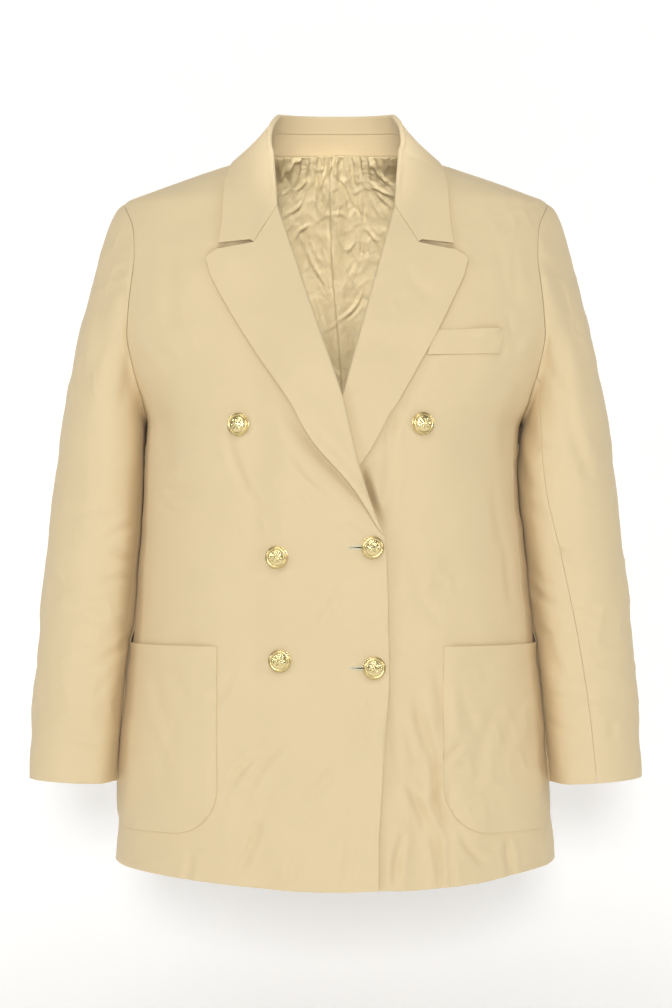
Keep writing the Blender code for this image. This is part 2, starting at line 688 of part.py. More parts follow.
def lapel_pattern(share, s, side):
    """The lapel seen from the front: share runs up from the break, s from roll line to edge."""
    roll = np.stack(roll_line(share, side), axis=-1)
    edge_table = table(LAPEL_EDGE_COLUMNS, LAPEL_EDGE[side])
    edge_shares = path_shares(LAPEL_EDGE[side])
    edge = np.stack(
        [smooth(share, edge_shares, edge_table[name]) for name in LAPEL_EDGE_COLUMNS], axis=-1
    )
    top = lapel_top(side)
    bent = along_path(top, path_shares(top), s)
    top_straight = mix(np.array(top[0]), np.array(top[-1]), s[..., None])
    near_top = ease(share, 0.55, 1.0)[..., None]
    return mix(roll, edge, s[..., None]) + near_top * (bent - top_straight)


def lapel_top(side):
    """Corners of the lapel's top: the gorge seam, then the free edge, which ends in a round peak."""
    return (GORGE, *LAPEL_TOP[:-1], LAPEL_EDGE[side][-1])


def folded(fold_at, away, through, radius, turn):
    """Points of a fold of this outer radius: turn is 0 inside, pi/2 at its crest, pi outside."""
    centre = fold_at + radius * away
    return centre - radius * np.sin(turn) * away - radius * np.cos(turn) * through


def lapel(side):
    """A lapel, turned out at the roll line round the front's edge."""
    share = np.append(np.linspace(lapel_start(), LAPEL_LAST_ROW, LAPEL_ROWS), 1)
    notch, bend = path_shares(lapel_top(side))[1:3]
    s = np.array([0, notch / 2, notch, (notch + bend) / 2, bend, (bend + 1) / 2, 1])
    rows, columns = grid(share, s)
    flat = lapel_pattern(rows, columns, side)
    width = np.linalg.norm(flat[:, -1] - flat[:, 0], axis=-1)
    roll_gap = lapel_gap(flat[:, 0, 0], flat[:, 0, 1], side)
    radius = roll_gap / 2 + LAPEL_CLOTH
    start = (radius / width)[:, None]
    columns = np.maximum(columns, start + 0.3 * (1 - start) * columns)
    flat = lapel_pattern(rows, columns, side)
    flat[-1, -1] = mix(flat[-1, -1], (flat[-1, -2] + flat[-2, -1]) / 2, 0.4)
    angle = angle_at(flat[..., 0], flat[..., 1])
    extra = lapel_gap(flat[..., 0], flat[..., 1], side) + LAPEL_CLOTH
    points, through = lifted(angle, flat[..., 1], side, extra)

    crest = lapel_pattern(share, 0 * share, side)
    crest_angle = angle_at(crest[..., 0], crest[..., 1])
    crest_at, crest_through = lifted(crest_angle, crest[..., 1], side, roll_gap / 2)
    away = points[:, 0] - crest_at
    away = unit(away - (away * crest_through).sum(-1, keepdims=True) * crest_through)
    turns = np.linspace(0, math.pi, FOLD_STEPS + 1)[:-1]
    fold = np.stack(
        [folded(crest_at, away, crest_through, radius[:, None], turn) for turn in turns], axis=1
    )
    fold_through = np.stack(
        [-np.sin(turn) * away - np.cos(turn) * crest_through for turn in turns], axis=1
    )
    return np.concatenate([fold, points], axis=1), np.concatenate([fold_through, through], axis=1)


def collar_station(u):
    """The collar's fold, facing and edge at u, from its front end (0) to the centre back (1)."""
    rows = np.array(COLLAR_STATIONS)
    mirrored = rows[-2] * np.array([-1, 1, 1, 1, -1, 1, 1])
    mirrored[3] = 360 - mirrored[3]
    stations = table(COLLAR_COLUMNS, np.vstack([rows, mirrored]))
    at = np.asarray(u, float) * (len(rows) - 1)
    count = np.arange(len(rows) + 1)
    value = {name: smooth(at, count, stations[name]) for name in COLLAR_COLUMNS}
    fold = np.stack([value["fold_x"], value["fold_y"], value["fold_z"]], axis=-1)
    edge = np.stack([value["edge_x"], value["edge_y"], value["edge_z"]], axis=-1)
    facing = np.radians(value["face_angle"])
    return fold, np.stack([np.sin(facing), -np.cos(facing), 0 * facing], axis=-1), edge


def off_body(points):
    """How far the points lie outside the body's left half, and the normals there."""
    height = points[..., 2]
    angle = np.arctan2(points[..., 0] - section(height)[3], -points[..., 1])
    through = body_normal(angle, height, LEFT)
    return ((points - body_xyz(angle, height, LEFT)) * through).sum(-1), through


def settle(points, out):
    """The points moved along the body's normals until they lie this far outside it."""
    for _ in range(4):
        off, through = off_body(points)
        points = points + (out - off)[..., None] * through
    return points


def collar_half():
    """Outer points and normals of the wearer's left half of the collar, one row for each u."""
    u = np.linspace(0, 1, COLLAR_CELLS + 1)
    fold, face, edge = collar_station(u)
    on_front = on_body(angle_at(fold[0, 0], fold[0, 2]), fold[0, 2], LEFT, LAPEL_LIFT / 2)
    fold = fold + (1 - ease(u, 0.0, 0.16))[:, None] * (on_front - fold[0])
    along = unit(collar_station(u + 0.01)[0] - collar_station(u - 0.01)[0])
    along[0] = unit(fold[1] - fold[0])
    fold_angle = np.arctan2(fold[:, 0], -fold[:, 1])
    flat_face = body_normal(fold_angle, np.minimum(fold[:, 2], 0.0), LEFT)
    face = mix(flat_face, face, ease(u, 0.05, 0.35)[:, None])
    face = unit(face - (face * along).sum(-1, keepdims=True) * along)
    away = unit(np.cross(along, face))  # from the crest down into the fold
    radius = COLLAR_FOLD_RADIUS
    over = LAPEL_LIFT + LAPEL_CLOTH
    edge = settle(edge, over)
    off, out = off_body(fold + radius * (away + face))
    short = np.maximum(over - off, 0).max() * ease(u, 0.02, 0.2) * (1 - ease(u, 0.35, 0.65))
    fold = fold + short[:, None] * out
    outside = fold + radius * (away + face)

    corner = (GORGE, NOTCH, COLLAR_TIP)
    notch = path_shares(corner)[1]
    s = np.array([0, notch / 2, notch, (notch + 1) / 2, 1])
    middle = (outside + edge) / 2 + COLLAR_BULGE * ease(u, 0.1, 0.5)[:, None] * face
    t = s[None, :, None]
    free = (
        (1 - t) ** 2 * outside[:, None] + 2 * t * (1 - t) * middle[:, None] + t**2 * edge[:, None]
    )
    straight = mix(np.array(corner[0]), np.array(corner[2]), t[0])
    bent = along_path(corner, path_shares(corner), s) - straight
    shift = (1 - ease(u, 0.0, 0.25))[:, None, None] * bent[None]
    free = free + shift @ np.array([[1.0, 0, 0], [0, 0, 1]])
    stands_off = np.maximum(off_body(free)[0], over)
    fall = settle(free, mix(over, stands_off, ease(u, 0.12, 0.38)[:, None]))
    fall[:, -1] = edge

    turns = np.linspace(0, math.pi, FOLD_STEPS + 1)
    arc = np.stack([folded(fold, away, face, radius, turn) for turn in turns], axis=1)
    fall[:, 0] = arc[:, -1]
    gorge = lapel(LEFT)[0][-1]  # the lapel's top row: the collar is sewn to it as far as the notch
    arc[0, :-1], fall[0, :3] = gorge[:FOLD_STEPS], gorge[FOLD_STEPS : FOLD_STEPS + 3]
    neck, at_neck = neck_seam(u)
    share = np.concatenate([np.ones(STAND_START), STAND_SEAM])
    share = np.pad(share, (0, len(u) - len(share)), "edge")[:, None]
    seam = mix(arc[:, 0], neck, share)
    inside = mix(seam, arc[:, 0], 0.5)
    points = np.concatenate([seam[:, None], inside[:, None], arc[:, :-1], fall], axis=1)
    return points, neck, seam, at_neck, share


def neck_seam(u):
    """The inside of the panels' neckline at u, and the direction there into the coat's hollow."""
    corner_u = np.linspace(0, 1, 2 * NECK_CELLS + 1)
    angle, height = neckline(corner_u)
    corners, into = on_body(angle, height, LEFT, -CLOTH), -body_normal(angle, height, LEFT)
    along = [[np.interp(u, corner_u, value[:, k]) for k in range(3)] for value in (corners, into)]
    return np.transpose(along[0]), unit(np.transpose(along[1]))


def grid_normals(points):
    """Unit normals of a grid of points, from its neighbouring rows and columns."""
    return unit(np.cross(np.gradient(points, axis=1), np.gradient(points, axis=0)))


def both_halves(half):
    """A grid with rows from front to back, joined to its mirror image along the last row."""
    mirror = half * np.array([-1, 1, 1])
    return np.concatenate([half, mirror[-2::-1]], axis=0)


def collar_and_stand():
    """The collar's leaf and the stand inside it, each as points and normals.

    The leaf runs from the stand's seam up inside, over the fold, and out to its edge.
    """
    half, neck, seam, at_neck, share = collar_half()
    leaf = both_halves(half)
    leaf_through = grid_normals(leaf)
    at_neck = both_halves(at_neck)
    low = np.concatenate([share, share[-2::-1]]) ** 3
    at_seam = unit(mix(leaf_through[:, 0], at_neck, low))
    leaf_through[:, 0] = at_seam
    middle = unit(at_neck + at_seam)
    rows = slice(STAND_START, -STAND_START)
    stand = np.stack([neck, (neck + seam) / 2, seam], axis=1)
    stand_through = np.stack([at_neck, middle, at_seam], axis=1)
    return (leaf, leaf_through), (both_halves(stand)[rows], stand_through[rows])


# ---------------------------------------------------------------- what lies on the panels


def angle_along(start_angle, height, distance):
    """The angle at a distance along the cloth, measured round the body from start_angle."""
    turn = np.linspace(0, math.radians(75), 151)
    found = np.empty(height.shape)
    for row in np.ndindex(height.shape):
        ring = body_xyz(start_angle[row] + turn, np.full(turn.shape, height[row]), LEFT)
        length = np.concatenate([[0], np.cumsum(np.linalg.norm(np.diff(ring, axis=0), axis=1))])
        found[row] = start_angle[row] + np.interp(distance[row], length, turn)
    return found


def rounded(u, v, radius_u, radius_v):
    """A unit square with its two corners at v = 0 rounded: square cells become a quarter disc."""
    across = np.minimum(u, 1 - u)
    a, b = np.clip(1 - across / radius_u, 0, 1), np.clip(1 - v / radius_v, 0, 1)
    new_a, new_b = a * np.sqrt(1 - b * b / 2), b * np.sqrt(1 - a * a / 2)
    moved = np.where(a > 0, radius_u * (1 - new_a), across)
    return np.where(u <= 0.5, moved, 1 - moved), np.where(b > 0, radius_v * (1 - new_b), v)


def patch_pocket(side):
    """A patch pocket over the front and side panel, its lower corners rounded."""
    v, u = grid(np.linspace(0, 1, POCKET_STEPS + 1), np.linspace(0, 1, POCKET_STEPS + 1))
    tall = POCKET_TOP - POCKET_BOTTOM
    u, v = rounded(u, v, POCKET_RADIUS / POCKET_WIDTH, POCKET_RADIUS / tall)
    height = POCKET_BOTTOM + tall * v
    start = angle_at(np.full(height.shape, POCKET_INNER[side]), height)
    angle = angle_along(start, height, POCKET_WIDTH * u)
    through = body_normal(angle, height, side)
    return body_xyz(angle, height, side) + (POCKET_LAYER + POCKET_CLOTH) * through, through


def breast_welt():
    """The welt of the breast pocket, its inner end under the lapel."""
    u, v = grid(np.linspace(0, 1, 7), np.linspace(0, 1, 3))
    bottom = mix(np.array(WELT_BOTTOM[0]), np.array(WELT_BOTTOM[1]), u[..., None])
    top = mix(np.array(WELT_TOP[0]), np.array(WELT_TOP[1]), u[..., None])
    flat = mix(bottom, top, v[..., None])
    angle = angle_at(flat[..., 0], flat[..., 1])
    through = body_normal(angle, flat[..., 1], LEFT)
    return body_xyz(angle, flat[..., 1], LEFT) + (LAYER + WELT_CLOTH) * through, through


def back_lining(side):
    """Half of the back's lining: the back's own points moved in, from the neck to above the hem."""
    points, through = back_panel(side)
    points, through = points[:, :-1], through[:, :-1]
    points = points - (CLOTH + LAYER) * through
    points[0] = mix(points[0], points[1], LINING_HEM_RISE)
    points[-1] = mix(points[-1], points[-2], LINING_MARGIN)
    return points, through


def button(node, side, across, height, material):
    """A domed button with a raised rim, turned about its shank and set square to the cloth."""
    r, h = BUTTON_RADIUS, BUTTON_HEIGHT
    profile = (
        (0.0, h),
        (0.36 * r, 0.95 * h),
        (0.66 * r, 0.74 * h),
        (0.78 * r, 0.52 * h),
        (0.86 * r, 0.56 * h),
        (0.96 * r, 0.46 * h),
        (r, 0.30 * h),
        (0.80 * r, 0.16 * h),
        (0.30 * r, 0.12 * h),
        (0.22 * r, 0.0),
        (0.0, 0.0),
    )
    mesh = bpy.data.meshes.new(node)
    edges = [(i, i + 1) for i in range(len(profile) - 1)]
    mesh.from_pydata([(x, 0.0, z) for x, z in profile], edges, [])
    mesh.materials.append(material)
    thing = bpy.data.objects.new(node, mesh)
    COAT.objects.link(thing)
    turned = thing.modifiers.new("Turned", "SCREW")
    turned.steps = turned.render_steps = BUTTON_STEPS
    turned.use_merge_vertices = True
    turned.merge_threshold = 1e-5
    turned.use_smooth_shade = True
    across, height = np.array(across), np.array(height)
    at, through = lifted(angle_at(across, height), height, side, SEAM)
    thing.location = Vector(at)
    thing.rotation_mode = "QUATERNION"
    thing.rotation_quaternion = Vector(through).to_track_quat("Z", "Y")
    return thing


# ---------------------------------------------------------------- the coat

for old in list(bpy.data.objects):
    bpy.data.objects.remove(old)
COAT = bpy.data.collections.new("double_breasted_blazer")
bpy.context.scene.collection.children.link(COAT)


def make_coat():
    tan = finish("coat_cloth", CLOTH_COLOUR, 0.85)
    satin = finish("lining_satin", LINING_COLOUR, 0.45)
    gold = finish("button_gold", GOLD_COLOUR, 0.25, 1.0)

    for side, word in ((RIGHT, "right"), (LEFT, "left")):
        wall(f"front_{word}", *cloth(*front_panel(side), CLOTH), tan)
        wall(f"side_panel_{word}", *cloth(*side_panel(side), CLOTH), tan)
        wall(f"back_{word}", *cloth(*back_panel(side), CLOTH), tan)
        front_step = SLEEVE_FRONT_STEP[side]
        upper = sleeve_part(side, SLEEVE_BACK_STEP - ARMHOLE_STEPS, front_step)
        under = sleeve_part(side, front_step, SLEEVE_BACK_STEP)
        wall(f"upper_sleeve_{word}", *cloth(*upper, SLEEVE_CLOTH), tan)
        wall(f"under_sleeve_{word}", *cloth(*under, SLEEVE_CLOTH), tan)
        wall(f"lapel_{word}", *cloth(*lapel(side), LAPEL_CLOTH), tan)
        wall(f"patch_pocket_{word}", *cloth(*patch_pocket(side), POCKET_CLOTH), tan)
        wall(f"back_lining_{word}", *cloth(*back_lining(side), LINING_CLOTH), satin)
    leaf, stand = collar_and_stand()
    wall("collar", *cloth(*leaf, LAPEL_CLOTH), tan)
    wall("collar_stand", *cloth(*stand, LAPEL_CLOTH, SEAM), tan)
    wall("breast_welt", *cloth(*breast_welt(), WELT_CLOTH), tan)
    for row in BUTTONS:
        button(**dict(zip(BUTTON_COLUMNS, row)), material=gold)


make_coat()
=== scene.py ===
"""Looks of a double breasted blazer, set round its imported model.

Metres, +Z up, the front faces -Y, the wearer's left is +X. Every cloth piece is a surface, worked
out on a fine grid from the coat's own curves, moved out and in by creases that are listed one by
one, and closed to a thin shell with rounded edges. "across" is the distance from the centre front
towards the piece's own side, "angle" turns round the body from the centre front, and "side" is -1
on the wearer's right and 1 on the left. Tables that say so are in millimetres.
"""

import math

import bpy
import numpy as np
from bpy.props import FloatProperty, FloatVectorProperty, PointerProperty
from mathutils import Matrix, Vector


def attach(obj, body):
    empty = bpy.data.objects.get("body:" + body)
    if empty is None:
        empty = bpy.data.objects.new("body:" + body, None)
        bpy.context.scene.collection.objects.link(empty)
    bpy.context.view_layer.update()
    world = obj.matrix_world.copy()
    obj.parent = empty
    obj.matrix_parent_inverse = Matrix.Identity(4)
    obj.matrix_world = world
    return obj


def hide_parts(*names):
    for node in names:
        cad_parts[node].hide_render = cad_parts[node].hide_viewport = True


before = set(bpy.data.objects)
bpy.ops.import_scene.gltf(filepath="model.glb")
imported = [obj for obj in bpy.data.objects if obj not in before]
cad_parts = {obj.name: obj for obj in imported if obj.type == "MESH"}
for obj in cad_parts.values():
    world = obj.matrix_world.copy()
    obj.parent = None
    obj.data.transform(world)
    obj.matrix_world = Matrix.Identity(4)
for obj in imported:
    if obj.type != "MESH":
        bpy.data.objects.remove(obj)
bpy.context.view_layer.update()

bl_info = {
    "name": "Double breasted blazer",
    "version": (1, 0, 0),
    "blender": (4, 5, 0),
    "location": "3D Viewport > Sidebar > Blazer",
    "description": "Cloth, lining and buttons of a double breasted blazer",
    "category": "Object",
}

RIGHT, LEFT = -1, 1
SIDES = ((RIGHT, "right"), (LEFT, "left"))
MM = 0.001

# ---------------------------------------------------------------- the coat's sizes

CLOTH = 0.0020
LAPEL_CLOTH = 0.0018
SLEEVE_CLOTH = 0.0018
POCKET_CLOTH = 0.0016
WELT_CLOTH = 0.0012
POCKET_SHELL = 0.0013  # a little thinner than what it stands for, to clear the cloth below
WELT_SHELL = 0.0010
LAYER = 0.0004
SEAM = 0.0003
ROUNDNESS = 2.4  # exponent of the body's superellipse sections

# Millimetres: level sections of the body, from the hem up.
BODY_COLUMNS = ("height", "half_width", "front_depth", "back_depth", "centre_x")
BODY_SECTIONS = (
    (-760, 226, 139, 125, -1),
    (-702.5, 224, 137, 123, -1),
    (-651, 221, 135, 120, -2),
    (-579, 215, 133, 115, -3),
    (-496, 206.5, 131, 107, -3),
    (-393, 196.5, 132, 102, -4),
    (-330, 191, 136, 107, -5.5),
    (-280, 190, 137, 113, -2.5),
    (-250, 201.5, 134, 116, 0),
    (-220, 218, 129, 118, 0),
    (-180, 236.5, 120.5, 117.5, 0),
    (-140, 242, 109, 114.5, 0),
    (-100, 236, 96, 108, 0),
    (-70, 225.5, 84, 100, 0),
    (-47.4, 216.5, 74.5, 93, 0),
    (-33, 181.5, 68.5, 88, 0),
    (-12.4, 122.6, 59, 81.5, 0),
    (3, 74, 52, 78, 0),
    (15, 65, 48, 75.5, 0),
    (40, 56, 45, 74, 0),
)

TROUGH_COLUMNS = ("angle", "top", "half_width", "depth")  # degrees, positive on the left
TROUGHS = (
    (34.0, -0.500, 6.0, 0.0055),
    (57.0, -0.640, 6.0, 0.0020),
    (-29.0, -0.620, 7.0, 0.0022),
    (150.0, -0.420, 9.0, 0.0045),
    (-146.0, -0.460, 8.0, 0.0040),
    (118.0, -0.520, 7.0, 0.0025),
    (-120.0, -0.500, 7.0, 0.0030),
)
TROUGH_FULL = -0.70

HEM_SIDE = -0.7180
HEM_FRONT_DROP = 0.0200
HEM_SAG = 0.0035
HEM_BACK_DROP = 0.0040
HEM_TUCK = 0.0035

NECKLINE_COLUMNS = ("angle", "height")
NECKLINE = (
    (40.6, -0.0570),
    (48.0, -0.0250),
    (62.0, -0.0040),
    (90.0, 0.0030),
    (120.0, 0.0070),
    (150.0, 0.0105),
    (180.0, 0.0120),
)

ARMHOLE_TOP = -0.0474
ARMHOLE_BOTTOM = -0.2705
ARMHOLE_MIDDLE = (ARMHOLE_TOP + ARMHOLE_BOTTOM) / 2
ARMHOLE_HALF = (ARMHOLE_TOP - ARMHOLE_BOTTOM) / 2
ARMHOLE_FRONT = 0.0680
ARMHOLE_BACK = 0.0700
ARMHOLE_STEPS = 28
SIDE_FRONT_STEP = 10
SIDE_BACK_STEP = 18
SIDE_FRONT_HEM_ANGLE = 72.6
SIDE_BACK_HEM_ANGLE = 112.0

# Millimetres: the sleeve's lines, from the cuff up.
SLEEVE_COLUMNS = ("height", "outer_line", "inner_line", "centre_y", "half_depth")
SLEEVE_SECTIONS = (
    (-670, 312.2, 216.5, -43, 48.5),
    (-639, 311, 214.5, -40, 49.5),
    (-578.9, 308.8, 209, -34, 52),
    (-496.5, 302.8, 200.5, -26, 55),
    (-414.1, 296.1, 190.5, -18, 58.5),
    (-331.7, 287.4, 183.5, -10, 61.5),
    (-290.5, 282.5, 184.5, -6, 63),
    (-228.7, 272.7, 190, -1, 66),
    (-150, 254.6, 195.5, 2, 69),
    (-90, 237.2, 198, 3, 70),
)
SLEEVE_SHIFT = -0.0008
SLEEVE_CLEARANCE = 0.0004
SLEEVE_SOFTNESS = 0.0018
SLEEVE_RECESS = 0.026  # how far its front falls back beside the body
RECESS_WIDTH = 0.0075
SLEEVE_TUCK = 0.014  # how much fuller it is behind the body's side
CUFF = -0.6355
CAP_END_TOP = -0.1500
CAP_END_BOTTOM = -0.3050
HEAD_HANDLES = (0.018, 0.006)
TUBE_HANDLES = (0.045, 0.014)
SLEEVE_FRONT_STEP = {RIGHT: 11, LEFT: 10}
SLEEVE_TWIST = {RIGHT: 0.0, LEFT: -38.0}

# Millimetres: the fronts' free edges and the lapels' roll lines.
FRONT_EDGE_COLUMNS = ("height", "reach")
FRONT_EDGE = {
    RIGHT: (
        (-760, 42.8),
        (-690, 43.2),
        (-654, 46.2),
        (-626, 48.2),
        (-599, 50.8),
        (-571, 52.7),
        (-530, 55),
        (-488, 54.7),
        (-412, 53.3),
        (-389, 51.7),
    ),
    LEFT: ((-760, 36), (-610, 36), (-500, 36), (-389, 34.5)),
}
BREAK_HEIGHT = -0.3890
ROLL_COLUMNS = ("height", "across")
ROLL_LINE = {
    RIGHT: (
        (-389, -51.7),
        (-377.7, -47.4),
        (-355, -39.6),
        (-316.5, -27.5),
        (-253, -7.4),
        (-150, 27.5),
        (-57, 58.5),
    ),
    LEFT: ((-389, -34.5), (-260, 2.8), (-150, 33), (-57, 58.5)),
}
GORGE = (0.0585, -0.0570)
NOTCH = (0.0819, -0.0956)
LAPEL_TOP = ((0.0819, -0.0956), (0.1190, -0.1025), (0.1330, -0.1126))
LAPEL_EDGE_COLUMNS = ("across", "height")
LAPEL_EDGE = {
    RIGHT: (
        (-0.0517, -0.3890),
        (-0.0442, -0.3787),
        (-0.0362, -0.3643),
        (-0.0266, -0.3480),
        (-0.0162, -0.3335),
        (0.0197, -0.2939),
        (0.0472, -0.2527),
        (0.0813, -0.2033),
        (0.1121, -0.1531),
        (0.1330, -0.1126),
    ),
    LEFT: (
        (-0.0345, -0.3890),
        (-0.0170, -0.3600),
        (0.0080, -0.3380),
        (0.0293, -0.3168),
        (0.0551, -0.2669),
        (0.0760, -0.2290),
        (0.1012, -0.1834),
        (0.1350, -0.1126),
    ),
}
LAPEL_OPENS = 0.42
LAPEL_CLOSES = 0.15  # share of its gap that the lapel's free edge loses
PEAK_ROUND = 0.0032
LAPEL_PRESSED = 0.0011
LAPEL_LIFT = 0.0022
LAPEL_ROLL = 0.0024  # how much further the right lapel's edge stands off, low down
LIFT_OVER_FRONT = 0.0032
LIFT_OVER_LAPEL = 0.0066
LIFT_ACROSS = (0.045, 0.080)
EDGE_CURL = 0.0016  # how much further the right front's free edge stands off
EDGE_CURL_WIDTH = 0.016
LIFT_LAPEL_RISE = (-0.425, -0.385)
LIFT_TOP = (-0.24, -0.12)
ROLL_LAST_ROW = 0.012

# The panels' rows, counted from the hem: at the break, at the side panel's top, at the gorge and
# at the shoulder seam's outer end.
BREAK_ROW, ARMHOLE_ROW, GORGE_ROW, SHOULDER_ROW = 6, 12, 18, 22

COLLAR_COLUMNS = ("fold_x", "fold_y", "fold_z", "face_angle", "edge_x", "edge_y", "edge_z")
COLLAR_STATIONS = (
    (0.0585, -0.0780, -0.0570, 37.2, 0.1175, -0.0870, -0.0961),
    (0.0602, -0.0655, -0.0290, 45.0, 0.1141, -0.0758, -0.0683),
    (0.0632, -0.0400, 0.0000, 58.0, 0.1126, -0.0600, -0.0353),
    (0.0640, -0.0060, 0.0330, 82.0, 0.0970, -0.0150, -0.0060),
    (0.0590, 0.0350, 0.0500, 122.0, 0.0830, 0.0430, -0.0050),
    (0.0350, 0.0640, 0.0520, 158.0, 0.0460, 0.0745, -0.0005),
    (0.0000, 0.0725, 0.0526, 180.0, 0.0000, 0.0800, 0.0020),
)
COLLAR_TIP = (0.1175, -0.0961)
COLLAR_FOLD_RADIUS = 0.0029
COLLAR_BULGE = 0.0015
STAND_AT = (0.0, 0.375, 0.4375, 0.5, 0.5625, 1.0)  # shares of half the collar
STAND_SEAM = (1.0, 1.0, 0.85, 0.62, 0.43, 0.42)  # the stand's top: 0 at the fold, 1 at the neckline

POCKET_WIDTH = 0.165
POCKET_TOP = -0.4970
POCKET_BOTTOM = -0.6830
POCKET_RADIUS = 0.0480
POCKET_INNER = {RIGHT: 0.1150, LEFT: 0.1095}
POCKET_LAYER = 0.0007
POCKET_FLAT = 0.012  # width of the flat band inside its sewn edges
POCKET_MOUTH, WELT_MOUTH = 0.0012, 0.0030  # how far their tops stand open

WELT_TOP = ((0.0960, -0.1835), (0.1665, -0.1808))
WELT_BOTTOM = ((0.0900, -0.2085), (0.1630, -0.2061))

BUTTON_COLUMNS = ("node", "side", "across", "height", "turned")
BUTTONS = (
    ("button_top_right", RIGHT, 0.0937, -0.2775, 0.4),
    ("button_top_left", LEFT, 0.0877, -0.2765, 1.3),
    ("button_middle_right", RIGHT, 0.0540, -0.4085, 2.6),
    ("button_middle_left", RIGHT, -0.0394, -0.3987, 0.9),
    ("button_bottom_right", RIGHT, 0.0520, -0.5108, 5.2),
    ("button_bottom_left", RIGHT, -0.0404, -0.5177, 3.7),
)

# ---------------------------------------------------------------- creases, in the front view

# Millimetres, and the bow as a share of the length.
CREASE_COLUMNS = ("x", "z", "x_end", "z_end", "half_width", "depth", "bow")
LAPEL_HOLLOW = (-56, -256, 47, -372, 9, 3.8, 0.02)
FRONT_CREASES = (
    LAPEL_HOLLOW,
    # the net of folds low on the wearer's left front
    (79.5, -549, 96.5, -611, 5, 3.1, 0.02),
    (96.5, -600, 97.5, -656, 3.8, 3.9, -0.04),
    (97.5, -640, 113.6, -682, 3.8, 3.5, 0.05),
    (69.3, -631, 89.7, -679, 4.2, 2.5, -0.05),
    (74, -608, 123.8, -622, 4.2, 1, 0.08),
    (104, -612, 123.8, -594, 3.6, 2, 0),
    (65.9, -682, 59.1, -732, 4.2, 2.7, 0.04),
    (94.5, -676, 104.7, -740, 4.6, 3.5, -0.04),
    (112, -690, 118, -745, 3.4, 2.7, 0.03),
    (123.8, -684, 148, -712, 3.8, 2.1, 0.05),
    (170, -690, 174.8, -730, 3.8, 2, 0),
    (52, -560, 60, -640, 7, 1.8, 0.03),
    (100, -520, 108, -585, 6, 1.8, -0.03),
    # diagonals low on the right front
    (-107.7, -640, -74, -602, 3.8, 1.9, -0.08),
    (-87.3, -640, -50, -588, 4.4, 1.6, -0.06),
    (-100.9, -724, -73.6, -660, 4.2, 1.9, 0.05),
    (-32.8, -648, 1.2, -610, 4.7, 1.4, 0.06),
    (-19.2, -476, 8, -434, 4.2, 1.1, 0.04),
    (-130, -560, -100, -520, 5, 0.9, 0.05),
    (-48, -735, -38, -690, 4.7, 1.4, 0.04),
    (6, -735, 16, -680, 5, 1.3, 0.04),
    (-150, -735, -143, -700, 4.2, 1.3, 0.03),
    # drag lines towards the fastening
    (-107.7, -288, -77, -360, 4.7, 1.4, 0.05),
    (-46.4, -311, -12.4, -349, 4.2, 1.4, 0.05),
    (-38, -338, -18, -358, 3.4, 1, 0.03),
    (7, -376, 29, -390, 4, 1.1, -0.05),
    (-140, -420, -70, -404, 6, 0.6, 0.08),
    (-175, -345, -125, -338, 4.4, 0.6, 0.06),
    (60, -262, 53, -305, 5, 1.8, 0.05),
    (54, -300, 45, -372, 6, 2, -0.03),
    (75, -430, 105, -475, 6, 0.7, 0.05),
    (62, -395, 56, -450, 5, 0.7, 0.03),
    # between the breast pocket and the left armhole, and down the left side
    (164.6, -93, 174.8, -155, 6, 0.5, 0.03),
    (178.2, -100, 181.6, -155, 5, 0.5, 0),
    (191.8, -182, 157.8, -216, 4.7, 1, 0.06),
    (171, -164, 178, -194, 3.8, 0.7, 0),
    (188, -191, 176, -205, 3.8, 1, 0),
    (173, -252, 171, -318, 7, 1, 0.03),
    (190, -232, 176, -318, 7, 1.2, 0.04),
    (157.8, -338, 170, -410, 5, 0.7, 0.03),
    (172, -400, 178.2, -461, 4.4, 0.8, 0.03),
    # the same on the right
    (-170, -100, -166, -180, 8, 0.7, -0.03),
    (-192, -190, -160, -222, 6, 0.9, -0.06),
    (-178, -244, -172, -330, 9, 0.7, -0.03),
    (-180, -350, -156, -372, 4.7, 0.7, 0.05),
    # pockets
    (-182.5, -522, -155.3, -600, 5.9, 0.7, 0.05),
    (-165.5, -515, -141.7, -558, 5.2, 0.5, 0.04),
    (-189.4, -570, -165.5, -645, 5.9, 0.6, -0.04),
    (-151, -560, -171, -622, 6.3, 0.5, 0.04),
    (164.6, -543, 137.4, -640, 6.3, 0.6, 0.05),
    (185, -556, 164.6, -611, 5.9, 0.6, 0.04),
    (123.8, -543, 144.2, -592, 5.9, 0.6, 0.03),
)
# Troughs in a front alone, under what lies over it, by the distance from the centre front.
NOTCH_TROUGH = (68, -97, 124, -103, 4.2, 17, 0)
UNDER_CREASES = {
    RIGHT: (NOTCH_TROUGH,),
    LEFT: (
        NOTCH_TROUGH,
        (107, -190, 37, -318, 6, 1.2, 0),
        (28.5, -318, 46, -378, 6.4, 11, 0),
    ),
}
BACK_CREASES = (
    # shoulder blades and armholes
    (150, -110, 165, -215, 10, 2, 0.05),
    (-156, -120, -160, -228, 10, 1.8, -0.05),
    (180, -190, 120, -235, 8, 1.6, 0.06),
    (-182, -200, -110, -262, 7.5, 1.7, -0.06),
    (60, -60, 110, -76, 7, 1, 0.08),
    (-52, -60, -104, -80, 7.5, 1, -0.08),
    # across the waist
    (20, -330, 105, -352, 8, 1.4, 0.08),
    (-18, -346, -98, -338, 9, 1.3, 0.08),
    (150, -372, 78, -398, 7, 1.1, -0.07),
    (-160, -360, -88, -404, 8, 1.2, 0.07),
    # down to the hem
    (98, -440, 104, -730, 11, 1.8, 0.02),
    (-104, -480, -112, -735, 10, 1.6, -0.02),
    (40, -560, 52, -735, 9, 1.2, 0.02),
    (-46, -610, -40, -738, 8.5, 1.3, 0.02),
    (160, -600, 150, -720, 9, 1, 0.02),
)
